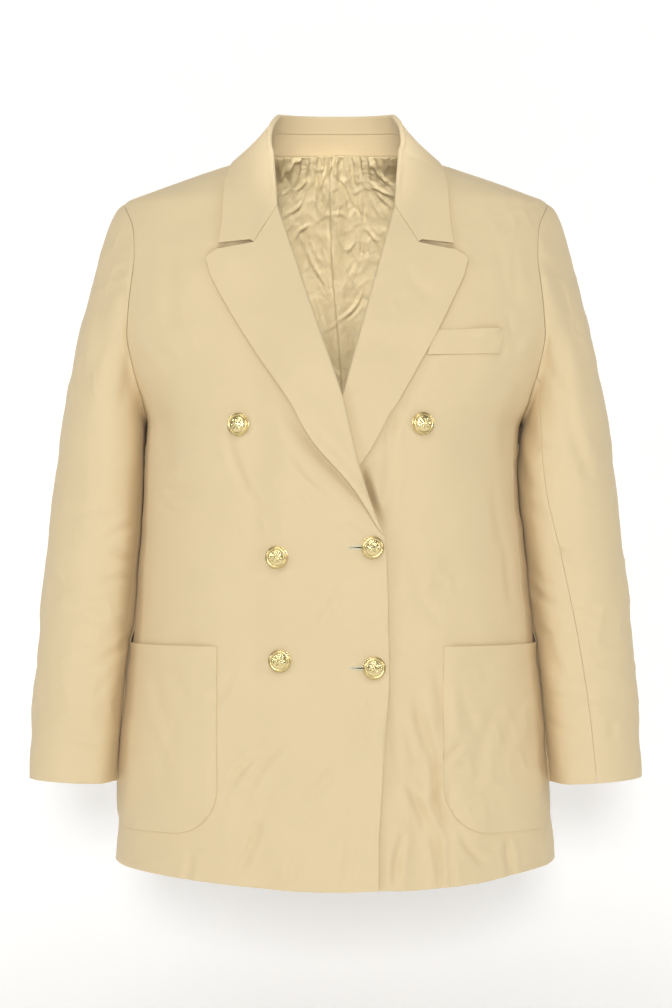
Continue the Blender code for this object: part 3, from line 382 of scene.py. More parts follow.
SLEEVE_FRONT_CREASES = (
    # the wearer's left sleeve: head, bend of the elbow, and cuff
    (202, -161, 225.8, -245, 5.5, 1.2, 0.04),
    (212.3, -182, 205.4, -232, 5, 1.4, 0.03),
    (225.8, -216, 259.9, -340, 6, 1, 0.04),
    (246.3, -161, 253.1, -230, 6, 0.7, 0.03),
    (196, -262, 206, -310, 5, 1.4, 0.05),
    (188.4, -308, 199, -345, 4.4, 1.4, 0.06),
    (195, -352, 213, -372, 4.4, 1.2, 0.06),
    (219.1, -400, 239.5, -410, 3.4, 1.5, 0.05),
    (198, -420, 218, -440, 3.6, 1.4, 0.06),
    (195.2, -434, 225.9, -461, 3.8, 1.8, 0.08),
    (224, -462, 266.7, -461, 3.8, 1, 0.04),
    (205, -478, 218, -492, 3.8, 1.3, 0.05),
    (212.3, -488, 225.9, -530, 4.4, 1.7, 0.05),
    (214, -545, 259.9, -552, 4, 1, 0.05),
    (214, -575, 238, -584, 4, 1, 0.05),
    (277, -573, 277, -593, 5, 1, 0),
    # the wearer's right sleeve
    (-223.4, -127, -203, -182, 6, 0.9, -0.04),
    (-230.2, -182, -250.6, -243, 6, 0.9, 0.04),
    (-208, -205, -218, -262, 5.5, 1, -0.04),
    (-271.1, -366, -223.4, -352, 4.7, 0.9, 0.05),
    (-204, -372, -236, -392, 4.2, 1.3, -0.06),
    (-205, -412, -226, -404, 3.8, 1.2, 0.05),
    (-206, -430, -240, -438, 4, 1.3, 0.06),
    (-274.5, -454, -226.8, -475, 4.7, 0.9, 0.05),
    (-210, -492, -240, -516, 4.2, 1.2, -0.06),
    (-243, -545, -223, -525, 4.2, 1, 0.04),
    (-282, -576, -224, -602, 5, 1.1, 0.05),
    (-262, -300, -268, -400, 9, 0.7, 0.02),
)
SLEEVE_BACK_CREASES = (
    (214, -120, 224, -220, 8.5, 1.6, 0.03),
    (208, -236, 240, -284, 8, 1.6, 0.05),
    (214, -372, 262, -384, 7, 2, 0.08),
    (210, -410, 256, -432, 6.5, 1.9, 0.06),
    (216, -462, 262, -458, 6.5, 1.5, -0.06),
    (226, -560, 268, -584, 6.5, 1, 0.05),
    (-216, -124, -222, -212, 9, 1.5, -0.03),
    (-206, -240, -242, -276, 8, 1.7, -0.05),
    (-212, -382, -258, -374, 7, 2, -0.08),
    (-214, -418, -262, -440, 6.5, 1.8, -0.06),
    (-222, -480, -262, -472, 6.5, 1.3, 0.06),
    (-230, -570, -272, -560, 6.5, 1, 0.05),
)
LAPEL_CREASES = (
    (64, -120, 100, -157, 6, 0.9, 0.04),
    (-60, -180, -20, -250, 12, 0.6, 0.05),
    (80, -68, 88, -92, 3.5, 0.7, 0.03),
    (72, -64, 90, -96, 3.5, 0.6, 0),
)
# The lining's pinched folds, ridges that stand towards the wearer.
LINING_CREASES = (
    (-24.1, 9, -19.6, -19, 1.6, 4.4, 0.02),
    (1, 6, -19.6, -35, 2, -4, 0.12),
    (-62, -15, -30.8, 12.6, 1.8, -3.6, -0.08),
    (-42, -24, -31.8, -12, 1.7, -3.4, 0.05),
    (32, 13, 62, -21.5, 1.7, -4, 0.05),
    (37, -16.5, 59, -29.2, 1.6, -3.6, 0.06),
    (40, -19.5, 59, -40.5, 1.7, -3.6, 0.06),
    (-1.2, -10.5, 14.5, -40.5, 1.8, 4.4, -0.1),
    (19, -40, 28, -52.5, 1.5, 4, -0.06),
    (27.6, -25, 31.8, -61, 1.7, -3.8, 0.1),
    (35.4, -23, 30, -60, 1.4, 3, 0.05),
    (31, -62, 44.5, -79, 1.6, -3.2, -0.05),
    (-51, -48, -36.2, -35, 1.7, -3.4, 0.08),
    (-45, -76.5, -25.8, -58.5, 1.6, -3.4, -0.16),
    (-37.2, -69, -11, -124.5, 1.8, -3.4, 0.03),
    (-24, -106, -10.8, -125.5, 1.5, 3, 0.03),
    (10.5, -86.5, 20.5, -75, 1.7, -2.6, 0.08),
    (29, -69, 27.2, -92.5, 1.4, 2.8, 0.03),
    (1.5, -160, 28, -128.5, 1.8, -4.2, 0.12),
    (6, -159, 30, -133, 1.4, 3.6, 0.12),
    (-11, -170, 3, -161, 1.7, -3.4, 0.05),
    (14, 6, 19, -26, 2, -2.6, 0.06),
    (-37, 10, -30, -14, 2, 2.6, -0.06),
    (25, 11, 26.2, -6, 1.4, 3.4, 0.02),
    (17, -27, 30, -20.5, 1.8, -2.6, 0.06),
    (-6, -48, 12, -52, 1.7, -2.6, -0.2),
    (-48, -10, -46, -40, 2.2, 2.2, 0.05),
    (12, -110, 20, -96, 2, 2, 0.08),
    (-30, -130, -18, -170, 2.2, -2.6, 0.03),
    (-26, -190, 12, -225, 2.6, -3, 0.06),
    (30, -180, 18, -230, 2.6, 2.8, 0.03),
)
# The pleat down the lining's centre, in millimetres: x of its edge at heights from the hem up.
PLEAT_COLUMNS = ("height", "x")
PLEAT = (
    (-720, 10),
    (-240, 6),
    (-169.5, 1.3),
    (-108.3, -3.9),
    (-71, -5.4),
    (-2.3, -6.9),
    (12, -6.9),
)

# ---------------------------------------------------------------- what a user may change


class BlazerSizes(bpy.types.PropertyGroup):
    """Sizes of the coat's finish."""

    crease: FloatProperty(
        name="Crease depth", description="Share of the creases' own depths", default=1.5, min=0.0
    )
    rumple: FloatProperty(
        name="Rumple",
        description="Height of the cloth's wide soft unevenness",
        default=0.0010,
        unit="LENGTH",
    )
    edge: FloatProperty(
        name="Edge roundness",
        description="How far a turned edge rounds off",
        default=0.0007,
        unit="LENGTH",
    )
    seam: FloatProperty(
        name="Seam gap",
        description="Gap between two sewn edges",
        default=0.00012,
        unit="LENGTH",
    )
    twill: FloatProperty(
        name="Twill pitch",
        description="Distance between the weave's diagonal ribs",
        default=0.0009,
        unit="LENGTH",
    )


class BlazerColours(bpy.types.PropertyGroup):
    """Colours of the coat's finishes."""

    cloth: FloatVectorProperty(
        name="Cloth",
        description="The coat's cloth",
        default=(0.770, 0.620, 0.378),
        size=3,
        subtype="COLOR",
    )
    lining: FloatVectorProperty(
        name="Lining",
        description="The satin inside the back",
        default=(0.780, 0.640, 0.372),
        size=3,
        subtype="COLOR",
    )
    gold: FloatVectorProperty(
        name="Buttons",
        description="The buttons' metal",
        default=(0.920, 0.760, 0.385),
        size=3,
        subtype="COLOR",
    )
    thread: FloatVectorProperty(
        name="Thread",
        description="The buttonholes' thread",
        default=(0.860, 0.850, 0.640),
        size=3,
        subtype="COLOR",
    )


# ---------------------------------------------------------------- curves and surfaces


def table(columns, rows, scale=MM):
    """The rows as one array for each named column, in metres."""
    return dict(zip(columns, np.array(rows, float).T * scale))


def smooth(x, xs, ys):
    """Monotone cubic through the points: Hermite pieces whose slopes are harmonic means."""
    x, xs, ys = np.asarray(x, float), np.asarray(xs, float), np.asarray(ys, float)
    step = np.diff(xs)
    slope = np.diff(ys) / step
    before, after = slope[:-1], slope[1:]
    w_before, w_after = 2 * step[1:] + step[:-1], step[1:] + 2 * step[:-1]
    rising = before * after > 0
    safe_before, safe_after = np.where(rising, before, 1), np.where(rising, after, 1)
    inner = (w_before + w_after) / (w_before / safe_before + w_after / safe_after)
    tangent = np.concatenate([slope[:1], np.where(rising, inner, 0), slope[-1:]])
    i = np.clip(np.searchsorted(xs, x) - 1, 0, len(xs) - 2)
    t = np.clip((x - xs[i]) / step[i], 0, 1)
    return (
        (1 + 2 * t) * (1 - t) ** 2 * ys[i]
        + t * (1 - t) ** 2 * step[i] * tangent[i]
        + t**2 * (3 - 2 * t) * ys[i + 1]
        + t**2 * (t - 1) * step[i] * tangent[i + 1]
    )


def ease(x, start, end):
    """0 before start, 1 after end, and 3t^2 - 2t^3 between them."""
    t = np.clip((np.asarray(x, float) - start) / (end - start), 0, 1)
    return t * t * (3 - 2 * t)


def bell(x, width):
    """1 at 0, and exp(-(x / width)^2) round it."""
    return np.exp(-((x / width) ** 2))


def mix(a, b, t):
    """From a at t = 0 to b at t = 1."""
    return a + (b - a) * t


def unit(v):
    """The vectors at length 1."""
    return v / np.maximum(np.linalg.norm(v, axis=-1, keepdims=True), 1e-12)


def grid(u, v):
    """Two arrays, one row for each u and one column for each v."""
    return np.meshgrid(np.asarray(u, float), np.asarray(v, float), indexing="ij")


def spread(*stretches):
    """Evenly spaced values through stretches of (start, end, steps) that follow each other."""
    runs = [np.linspace(start, end, steps + 1) for start, end, steps in stretches]
    return np.concatenate([runs[0]] + [run[1:] for run in runs[1:]])


def normals(surface, u, v, step=1e-4, low_v=None):
    """Unit cross products of surface(u, v)'s slopes on both sides of each point."""
    v_before = v - step if low_v is None else np.maximum(v - step, low_v)
    along_u = surface(u + step, v) - surface(u - step, v)
    along_v = surface(u, v + step) - surface(u, v_before)
    return unit(np.cross(along_u, along_v))


BODY = table(BODY_COLUMNS, BODY_SECTIONS)
SLEEVE = table(SLEEVE_COLUMNS, sorted(SLEEVE_SECTIONS))
LAPEL_OUTLINE = {side: table(LAPEL_EDGE_COLUMNS, LAPEL_EDGE[side], 1) for side, _ in SIDES}


def section(height):
    """Half width, front depth, back depth and centre of the body's section at a height."""
    return [smooth(height, BODY["height"], BODY[name]) for name in BODY_COLUMNS[1:]]


def drape(angle, height):
    """How far the troughs move the surface: Gaussians of the angle that deepen downwards."""
    out = 0 * angle * height
    for row in TROUGHS:
        trough = dict(zip(TROUGH_COLUMNS, row))
        off = (np.degrees(angle) - trough["angle"] + 180) % 360 - 180
        deepens = ease(-height, -trough["top"], -TROUGH_FULL)
        out = out - trough["depth"] * bell(off, trough["half_width"]) * deepens
    return out


def body_xyz(angle, height, side):
    """The body: level superellipses whose widths and depths follow the table, plus the troughs."""
    half_width, front, back, centre = section(height)
    sine, cosine = np.sin(angle), np.cos(angle)
    depth = np.where(cosine > 0, front, back)
    power = np.abs(sine / half_width) ** ROUNDNESS + np.abs(cosine / depth) ** ROUNDNESS
    radius = power ** (-1 / ROUNDNESS) + drape(side * angle, height)
    return np.stack(
        [centre + side * radius * sine, -radius * cosine, height + 0 * radius], axis=-1
    )


def body_normal(angle, height, side):
    """The body's normals, outwards."""
    return side * normals(lambda a, h: body_xyz(a, h, side), angle, height, 1e-3)


def on_body(angle, height, side, out=0.0):
    """A point of the body, moved out by a distance along the normal."""
    out = np.asarray(out, float)[..., None]
    return body_xyz(angle, height, side) + out * body_normal(angle, height, side)


def angle_at(across, height):
    """The angle of the front's point at this distance from the centre front."""
    half_width, front, _, _ = section(height)
    share = np.clip(np.abs(across / half_width), 0, 1)
    return np.arctan2(across, front * (1 - share**ROUNDNESS) ** (1 / ROUNDNESS))


def hem_height(angle, side=RIGHT):
    """The hem is level at the back and dips towards the centre front."""
    front = np.clip(np.cos(angle), 0, 1) ** 1.4
    back = np.clip(-np.cos(angle), 0, 1)
    level = HEM_SIDE - HEM_FRONT_DROP * front - HEM_BACK_DROP * back
    if side == RIGHT:
        return level
    sag = HEM_SAG * ease(angle, 0.25, 0.60) * (1 - ease(angle, 0.85, 1.20))
    return level - sag + HEM_TUCK * (1 - ease(angle, 0.0, 0.35))


def armhole(turn):
    """Angle and height of the armhole: turn is 0 at the shoulder tip and grows down the front."""
    height = ARMHOLE_MIDDLE + ARMHOLE_HALF * np.cos(turn)
    in_front = np.sin(turn) >= 0
    half_width, front, back, _ = section(height)
    depth = np.where(in_front, front, back)
    off = np.where(in_front, ARMHOLE_FRONT, ARMHOLE_BACK) * np.abs(np.sin(turn))
    across = half_width * (1 - (off / depth) ** ROUNDNESS) ** (1 / ROUNDNESS)
    angle = np.arctan2(across, off)
    return np.where(in_front, angle, math.pi - angle), height


def armhole_turn(step):
    """The turn of one of the armhole's even steps."""
    return 2 * math.pi * np.asarray(step, float) / ARMHOLE_STEPS


def tube(turn, height, side):
    """The sleeve's tube, an ellipse square to the arm: turn is 0 outside, 90 degrees in front."""

    def centre(level):
        outer = smooth(level, SLEEVE["height"], SLEEVE["outer_line"]) + side * SLEEVE_SHIFT
        inner = smooth(level, SLEEVE["height"], SLEEVE["inner_line"]) + side * section(level)[3]
        deep = smooth(level, SLEEVE["height"], SLEEVE["centre_y"])
        return np.stack([(outer + inner) / 2, deep, level], axis=-1), (outer - inner) / 2

    middle, half_thick = centre(height)
    along = unit(centre(height - 0.01)[0] - centre(height + 0.01)[0])
    outwards = unit(np.stack([-along[..., 2], 0 * height, along[..., 0]], axis=-1))
    half_depth = smooth(height, SLEEVE["height"], SLEEVE["half_depth"])
    point = middle + (half_thick * np.cos(turn))[..., None] * outwards
    point = point - (half_depth * np.sin(turn))[..., None] * np.array([0.0, 1.0, 0.0])
    half_width, _, _, body_centre = section(point[..., 2])
    off_side = np.maximum(point[..., 0] - half_width - side * body_centre, 0)
    fall = bell(off_side, RECESS_WIDTH) * ease(np.sin(turn), -0.2, 0.3)
    tuck = ease(-np.cos(turn), -0.1, 0.7) * ease(-np.sin(turn), -0.3, 0.3)
    point = point + np.stack([-SLEEVE_TUCK * tuck, SLEEVE_RECESS * fall, 0 * fall], axis=-1)
    return beside_body(point, side) * np.array([side, 1, 1])


def body_side(y, height):
    """Half the body's width at a depth: the section's superellipse, solved for x."""
    half_width, front, back, _ = section(height)
    share = np.clip(np.abs(y) / np.where(y < 0, front, back), 0, 1)
    return half_width * (1 - share**ROUNDNESS) ** (1 / ROUNDNESS)


def beside_body(point, side):
    """The point moved out sideways by a soft maximum, so that the sleeve rests on the body."""
    x, y, height = point[..., 0], point[..., 1], point[..., 2]
    pocket = (1 - ease(height, POCKET_TOP, POCKET_TOP + 0.02)) * (1 - ease(y, -0.004, 0.008))
    clear = SLEEVE_CLEARANCE + (POCKET_CLOTH + 2 * POCKET_LAYER) * pocket
    body = side * section(height)[3] + body_side(y, height) + clear
    pushed = body + SLEEVE_SOFTNESS * np.logaddexp(0, (x - body) / SLEEVE_SOFTNESS)
    return np.stack([pushed, y, height], axis=-1)


def sleeve_xyz(turn, ring, side):
    """The sleeve: a cubic curve from armhole to tube at each turn (ring 0 to 1), then the tube."""
    low = (1 - np.cos(turn)) / 2
    cap_end = mix(CAP_END_TOP, CAP_END_BOTTOM, low)
    start = body_xyz(*armhole(turn), side)
    end = tube(turn, cap_end, side)
    leave = np.stack([side * (0.95 - 0.25 * low), 0 * low, -0.34 - 0.38 * low**2], axis=-1)
    arrive = unit(tube(turn, cap_end - 0.005, side) - tube(turn, cap_end + 0.005, side))
    handle_start = mix(*HEAD_HANDLES, low)[..., None] * unit(leave)
    handle_end = mix(*TUBE_HANDLES, low)[..., None] * arrive
    t = np.clip(ring, 0, 1)[..., None]
    cap = (
        (1 - t) ** 3 * start
        + 3 * t * (1 - t) ** 2 * (start + handle_start)
        + 3 * t**2 * (1 - t) * (end - handle_end)
        + t**3 * end
    )
    clear_of_body = beside_body(cap * np.array([side, 1, 1]), side) * np.array([side, 1, 1])
    cap = mix(cap, clear_of_body, ease(t, 0.0, 0.6) * low[..., None])
    below = tube(turn, mix(cap_end, CUFF, np.clip(ring - 1, 0, 1.2)), side)
    return np.where((np.asarray(ring) > 1)[..., None], below, cap)


def sleeve_normal(turn, ring, side):
    """The sleeve's normals, outwards."""
    return side * normals(lambda a, r: sleeve_xyz(a, r, side), turn, ring, 1e-3, low_v=0.0)


def armhole_normal(turn, side, own):
    """The direction through the cloth at the armhole seam: shared by body and sleeve on a ridge."""
    body = body_normal(*armhole(turn), side)
    sleeve = sleeve_normal(turn, 0 * turn, side)
    leaving = sleeve_xyz(turn, 0 * turn + 0.05, side) - sleeve_xyz(turn, 0 * turn, side)
    ridge = (body * leaving).sum(-1, keepdims=True) < 0
    return np.where(ridge, unit(body + sleeve), body if own == "body" else sleeve)


# ---------------------------------------------------------------- creases and unevenness


RIM_SHARE, RIM_AT = 0.3, 1.8  # height and place of the soft ridges on both sides of a trough


def creases(x, z, rows):
    """Sum of troughs along short lines.

    Each is depth * (G(q) - 0.3 G(q - 1.8) - 0.3 G(q + 1.8)) with G(q) = exp(-q^2), where q is the
    distance from the bowed line over the half width, and both ends of the line ease to nothing.
    """
    out = 0 * x
    for row in rows:
        c = dict(zip(CREASE_COLUMNS, (*np.multiply(row[:-1], MM), row[-1])))
        along_x, along_z = c["x_end"] - c["x"], c["z_end"] - c["z"]
        length = math.hypot(along_x, along_z)
        share = ((x - c["x"]) * along_x + (z - c["z"]) * along_z) / length**2
        off = ((x - c["x"]) * along_z - (z - c["z"]) * along_x) / length
        off = off - 4 * c["bow"] * length * share * (1 - share)
        q = off / c["half_width"]
        profile = bell(q, 1) - RIM_SHARE * (bell(q - RIM_AT, 1) + bell(q + RIM_AT, 1))
        ends = ease(share, -0.15, 0.35) * (1 - ease(share, 0.65, 1.15))
        out = out - c["depth"] * profile * ends
    return out


LATTICE = 64
FINER_SHARE = 0.7  # height of the finer rumple beside the wide one
BODY_WRINKLES, SLEEVE_WRINKLES = 1.1, 1.5  # height of the wrinkles beside the rumple
ARM_RADIUS = 0.05  # turns a sleeve's angle to a distance
BESIDE_BODY = 0.85  # share of a sleeve's relief that is lost where it lies on the body


def rumple(u, v, size, seed):
    """Smooth noise from -1 to 1: seeded values on a lattice of this size, blended by quintics."""
    lattice = np.random.default_rng(seed).uniform(-1, 1, (LATTICE, LATTICE))
    gu, gv = u / size, v / size
    iu, iv = np.floor(gu).astype(int), np.floor(gv).astype(int)
    fu, fv = gu - iu, gv - iv
    su, sv = (f**3 * (f * (6 * f - 15) + 10) for f in (fu, fv))

    def at(du, dv):
        return lattice[(iu + du) % LATTICE, (iv + dv) % LATTICE]

    return mix(mix(at(0, 0), at(1, 0), su), mix(at(0, 1), at(1, 1), su), sv)


def wrinkles(u, v, seed):
    """Ridges along the zero lines of a noise, 1 - |n| to the power 2.5, in patches of another."""
    ridge = (1 - np.abs(rumple(u + 0.35 * v, v - 0.35 * u, 0.021, seed))) ** 2.5
    return (ridge - 0.3) * ease(rumple(u, v, 0.060, seed + 20), -0.2, 0.5)


def clear_of_armhole(points):
    """0 on the armhole seam and 1 a hand's breadth off, by the armhole's own ellipse."""
    deep = np.where(points[..., 1] < 0, ARMHOLE_FRONT, ARMHOLE_BACK)
    ring = np.hypot((points[..., 2] - ARMHOLE_MIDDLE) / ARMHOLE_HALF, points[..., 1] / deep)
    return ease(ring, 1.0, 1.10)


def body_relief(points):
    """Creases and rumple of the body at these points, the same for all that lies there."""
    sizes = bpy.context.scene.blazer_sizes
    x, y, z = points[..., 0], points[..., 1], points[..., 2]
    front = 1 - ease(y, -0.03, 0.03)
    made = mix(creases(x, z, BACK_CREASES), creases(x, z, FRONT_CREASES), front) * sizes.crease
    finer = rumple(x - 0.3 * z, z + 0.2 * x, 0.027, 4)
    wide = rumple(x + 0.4 * y, z, 0.052, 3) + FINER_SHARE * finer
    wide = wide + BODY_WRINKLES * wrinkles(x + 0.3 * y, z, 8)
    below_neck = 1 - ease(z, -0.06, -0.01)
    return (made + sizes.rumple * wide * below_neck) * clear_of_armhole(points)


def sleeve_relief(points, turn, ring):
    """Creases and rumple of a sleeve, eased to nothing at the armhole."""
    sizes = bpy.context.scene.blazer_sizes
    x, z = points[..., 0], points[..., 2]
    front = ease(np.sin(turn), -0.3, 0.3)
    back_rows = creases(x, z, SLEEVE_BACK_CREASES)
    made = mix(back_rows, creases(x, z, SLEEVE_FRONT_CREASES), front) * sizes.crease
    round_arm = turn * ARM_RADIUS
    finer = rumple(round_arm, z, 0.022, 6)
    wide = rumple(round_arm + np.sign(x), z, 0.046, 5) + FINER_SHARE * finer
    wide = wide + SLEEVE_WRINKLES * wrinkles(round_arm + np.sign(x), z, 9)
    beside = 1 - BESIDE_BODY * ease(-np.cos(turn), 0.75, 0.92)
    return (made + sizes.rumple * wide) * ease(ring, 0.0, 0.18) * beside


# ---------------------------------------------------------------- shells

LIP_TURNS = np.radians([24, 52, 80])
SEAM_ROUND = 0.0003
SEAM_DEPTH = 0.00028
FREE_ROUND = {"bottom": 1.0, "right": 1.0, "top": 1.0, "left": 1.0}  # no side is sewn


def grid_sides(points, through):
    """Each side of a grid, as its name, its place, and the direction from it into the sheet."""
    sides = {
        "bottom": (0, 1),
        "top": (-1, -2),
        "left": (np.s_[:, 0], np.s_[:, 1]),
        "right": (np.s_[:, -1], np.s_[:, -2]),
    }
    for name, (edge, inside) in sides.items():
        tangent = np.gradient(points[edge], axis=0)
        across = unit(np.cross(tangent, through[edge]))
        towards = ((points[inside] - points[edge]) * across).sum(-1, keepdims=True)
        yield name, edge, np.where(towards < 0, -1, 1) * across


def around(values):
    """A grid's edge values in order round it."""
    return np.concatenate(
        [values[0, :-1], values[:-1, -1], values[-1, :0:-1], values[:0:-1, 0]]
    )


def lengths(points):
    """Distances along the rows and the columns of a grid, from its first corner."""
    along = np.linalg.norm(np.diff(points, axis=1), axis=-1)
    up = np.linalg.norm(np.diff(points, axis=0), axis=-1)
    return (
        np.concatenate([np.zeros((len(points), 1)), np.cumsum(along, axis=1)], axis=1),
        np.concatenate([np.zeros((1, points.shape[1])), np.cumsum(up, axis=0)], axis=0),
    )


def cells(index):
    """The quads between a grid's neighbouring rows and columns."""
    corners = [index[:-1, :-1], index[:-1, 1:], index[1:, 1:], index[1:, :-1]]
    return np.stack(corners, axis=-1).reshape(-1, 4)


def mesh_from(name, points, faces, cloth_uv, finish):
    """A smooth mesh from arrays of points, quads and UVs in metres."""
    mesh = bpy.data.meshes.new(name)
    mesh.from_pydata(points.tolist(), [], faces.tolist())
    layer = mesh.uv_layers.new(name="Cloth")
    layer.data.foreach_set("uv", cloth_uv[faces.ravel()].astype(np.float32).ravel())
    mesh.materials.append(finish)
    mesh.shade_smooth()
    thing = bpy.data.objects.new(name, mesh)
    bpy.context.scene.collection.objects.link(thing)
    return thing


def shell(name, points, through, thickness, finish, free=None):
    """A closed sheet of cloth.

    The grid is the outside. The inside is the same grid, the thickness further in along the
    directions through the cloth. Between them runs a lip, whose two corners are quarter ellipses,
    wide and deep where the edge is free (1) and small where it is sewn (0): C + r sin(a) B +
    (t/2 - d + d cos(a)) N, and the same mirrored.
    """
    sizes = bpy.context.scene.blazer_sizes
    thickness = np.broadcast_to(thickness, points.shape[:2])
    pulled, out = np.zeros_like(points), np.zeros_like(points)
    deep = np.zeros(points.shape[:2])
    for side, edge, inwards in grid_sides(points, through):
        loose = np.broadcast_to((free or {}).get(side, 0.0), len(inwards))[:, None]
        round_off = mix(SEAM_ROUND, np.minimum(sizes.edge, 0.45 * thickness[edge][:, None]), loose)
        pulled[edge] += (mix(sizes.seam, 0.0, loose) + round_off) * inwards
        out[edge] -= round_off * inwards
        corner = mix(SEAM_DEPTH, thickness[edge] / 2, loose[:, 0])
        deep[edge] = np.maximum(deep[edge], np.minimum(corner, thickness[edge] / 2))
    outer = points + pulled
    inner = outer - thickness[..., None] * through
    edge, square, out = around(outer), around(through), around(out)
    half, deep = around(thickness)[:, None] / 2, around(deep)[:, None]
    lips = [
        edge + (sign * (half - deep + deep * math.cos(a)) - half) * square + math.sin(a) * out
        for sign, turns in ((1, LIP_TURNS), (-1, LIP_TURNS[::-1]))
        for a in turns
    ]
    rows, columns = outer.shape[:2]
    count = rows * columns
    index = np.arange(count).reshape(rows, columns)
    quads = cells(index)
    loop = around(index)
    rings = [loop]
    rings += [2 * count + k * len(loop) + np.arange(len(loop)) for k in range(len(lips))]
    rings += [loop + count]
    bands = [
        np.stack([np.roll(a, -1), a, b, np.roll(b, -1)], axis=-1)
        for a, b in zip(rings[:-1], rings[1:])
    ]
    faces = np.concatenate([quads, quads[:, ::-1] + count, *bands])
    first = np.cross(outer[:-1, 1:] - outer[:-1, :-1], outer[1:, :-1] - outer[:-1, :-1])
    if (first * through[:-1, :-1]).sum() < 0:
        faces = faces[:, ::-1]
    along, up = lengths(points)
    flat = np.stack([along, up], axis=-1).reshape(-1, 2)
    cloth_uv = np.concatenate([flat, flat] + [flat[loop]] * len(lips))
    verts = np.concatenate([outer.reshape(-1, 3), inner.reshape(-1, 3), *lips])
    thing = mesh_from(name, verts, faces, cloth_uv, finish)
    return thing, cut_of(points)


def cut_of(points):
    """Width, length and area of a grid, as if it was laid flat."""
    along, up = lengths(points)
    a, b = points[1:, 1:] - points[:-1, :-1], points[1:, :-1] - points[:-1, 1:]
    area = float(np.linalg.norm(np.cross(a, b), axis=-1).sum() / 2)
    width, length = float(along[:, -1].max()), float(up[-1].max())
    return width, length, min(area, width * length)


def sewn(thing, cut, held, rests_on, slot, *nodes):
    """Attaches a sheet of cloth to the root and hides the nodes it stands for."""
    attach(thing, "root")
    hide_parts(*nodes)
    return thing


# ---------------------------------------------------------------- body panels


def front_reach(height, side):
    """How far the front's edge lies past the centre front."""
    edge = table(FRONT_EDGE_COLUMNS, FRONT_EDGE[side])
    return smooth(height, edge["height"], edge["reach"])


def roll_line(share, side):
    """Across and height of the lapel's roll line, from the break (0) to the gorge (1)."""
    height = mix(BREAK_HEIGHT, GORGE[1], share)
    line = table(ROLL_COLUMNS, ROLL_LINE[side])
    return smooth(height, line["height"], line["across"]), height


def right_roll_x(height):
    """X of the right front's roll line at a height, where it crosses the left front."""
    share = np.clip((height - BREAK_HEIGHT) / (GORGE[1] - BREAK_HEIGHT), 0, 1)
    return -roll_line(share, RIGHT)[0]


def lift(across, height, side):
    """How far a front's outside stands off the body: the right front lies over the left one."""
    if side == LEFT:
        return 0 * across
    over_lapel = ease(height, *LIFT_LAPEL_RISE)
    high = mix(LIFT_OVER_FRONT, LIFT_OVER_LAPEL, over_lapel) * (1 - ease(height, *LIFT_TOP))
    reach = front_reach(height, side)
    curl = EDGE_CURL * ease(-across, reach - EDGE_CURL_WIDTH, reach) * (1 - over_lapel)
    return high * (1 - ease(across, *LIFT_ACROSS)) + curl


def lapel_gap(across, height, side):
    """Gap between front and lapel, pressed flat where the right front covers the left lapel."""
    if side == RIGHT:
        return LAPEL_LIFT + 0 * across
    clear = ease(across - right_roll_x(height), 0.004, 0.020)
    return mix(LAPEL_PRESSED, LAPEL_LIFT, clear)


def lapel_rise(share, side):
    """How far the lapel has turned out, from 0 at the break: 1 - exp(-opens * width / fold)."""
    across, height = roll_line(share, side)
    edge, roll = (lapel_pattern(share, share * 0 + s, side) for s in (1, 0))
    width = np.linalg.norm(edge - roll, axis=-1)
    full = lapel_gap(across, height, side) / 2 + LAPEL_CLOTH
    return 1 - np.exp(-LAPEL_OPENS * width / full)


def side_seam(which, share):
    """Angle and height of a seam of the side panel, from the hem (0) to the armhole (1)."""
    step, hem_angle = {
        "front": (SIDE_FRONT_STEP, SIDE_FRONT_HEM_ANGLE),
        "back": (SIDE_BACK_STEP, SIDE_BACK_HEM_ANGLE),
    }[which]
    top_angle, top_height = armhole(armhole_turn(step))
    low_angle = math.radians(hem_angle)
    return mix(low_angle, top_angle, share), mix(hem_height(low_angle), top_height, share)


def share_of_row(row):
    """Share of the side seams at which a row meets them: one row is level with the break."""
    low = hem_height(math.radians(SIDE_FRONT_HEM_ANGLE))
    top = armhole(armhole_turn(SIDE_FRONT_STEP))[1]
    break_share = (BREAK_HEIGHT - low) / (top - low)
    return np.interp(row, (0, BREAK_ROW, ARMHOLE_ROW), (0, break_share, 1))


def neckline(share):
    """Angle and height of the neckline: 0 at the gorge, 0.5 at the side, 1 at the centre back."""
    line = table(NECKLINE_COLUMNS, NECKLINE, 1)
    station = np.asarray(share, float) * (len(NECKLINE) - 1)
    stations = np.arange(len(NECKLINE))
    return (
        np.radians(smooth(station, stations, line["angle"])),
        smooth(station, stations, line["height"]),
    )


def outer_edge(row, which):
    """Angle and height of a panel's outer edge: side seam, then armhole up to the shoulder."""
    low = side_seam(which, share_of_row(row))
    rise = np.clip(row - ARMHOLE_ROW, 0, SHOULDER_ROW - ARMHOLE_ROW)
    step = SIDE_FRONT_STEP - rise if which == "front" else SIDE_BACK_STEP + rise
    high = armhole(armhole_turn(step))
    return [np.where(row <= ARMHOLE_ROW, a, b) for a, b in zip(low, high)]


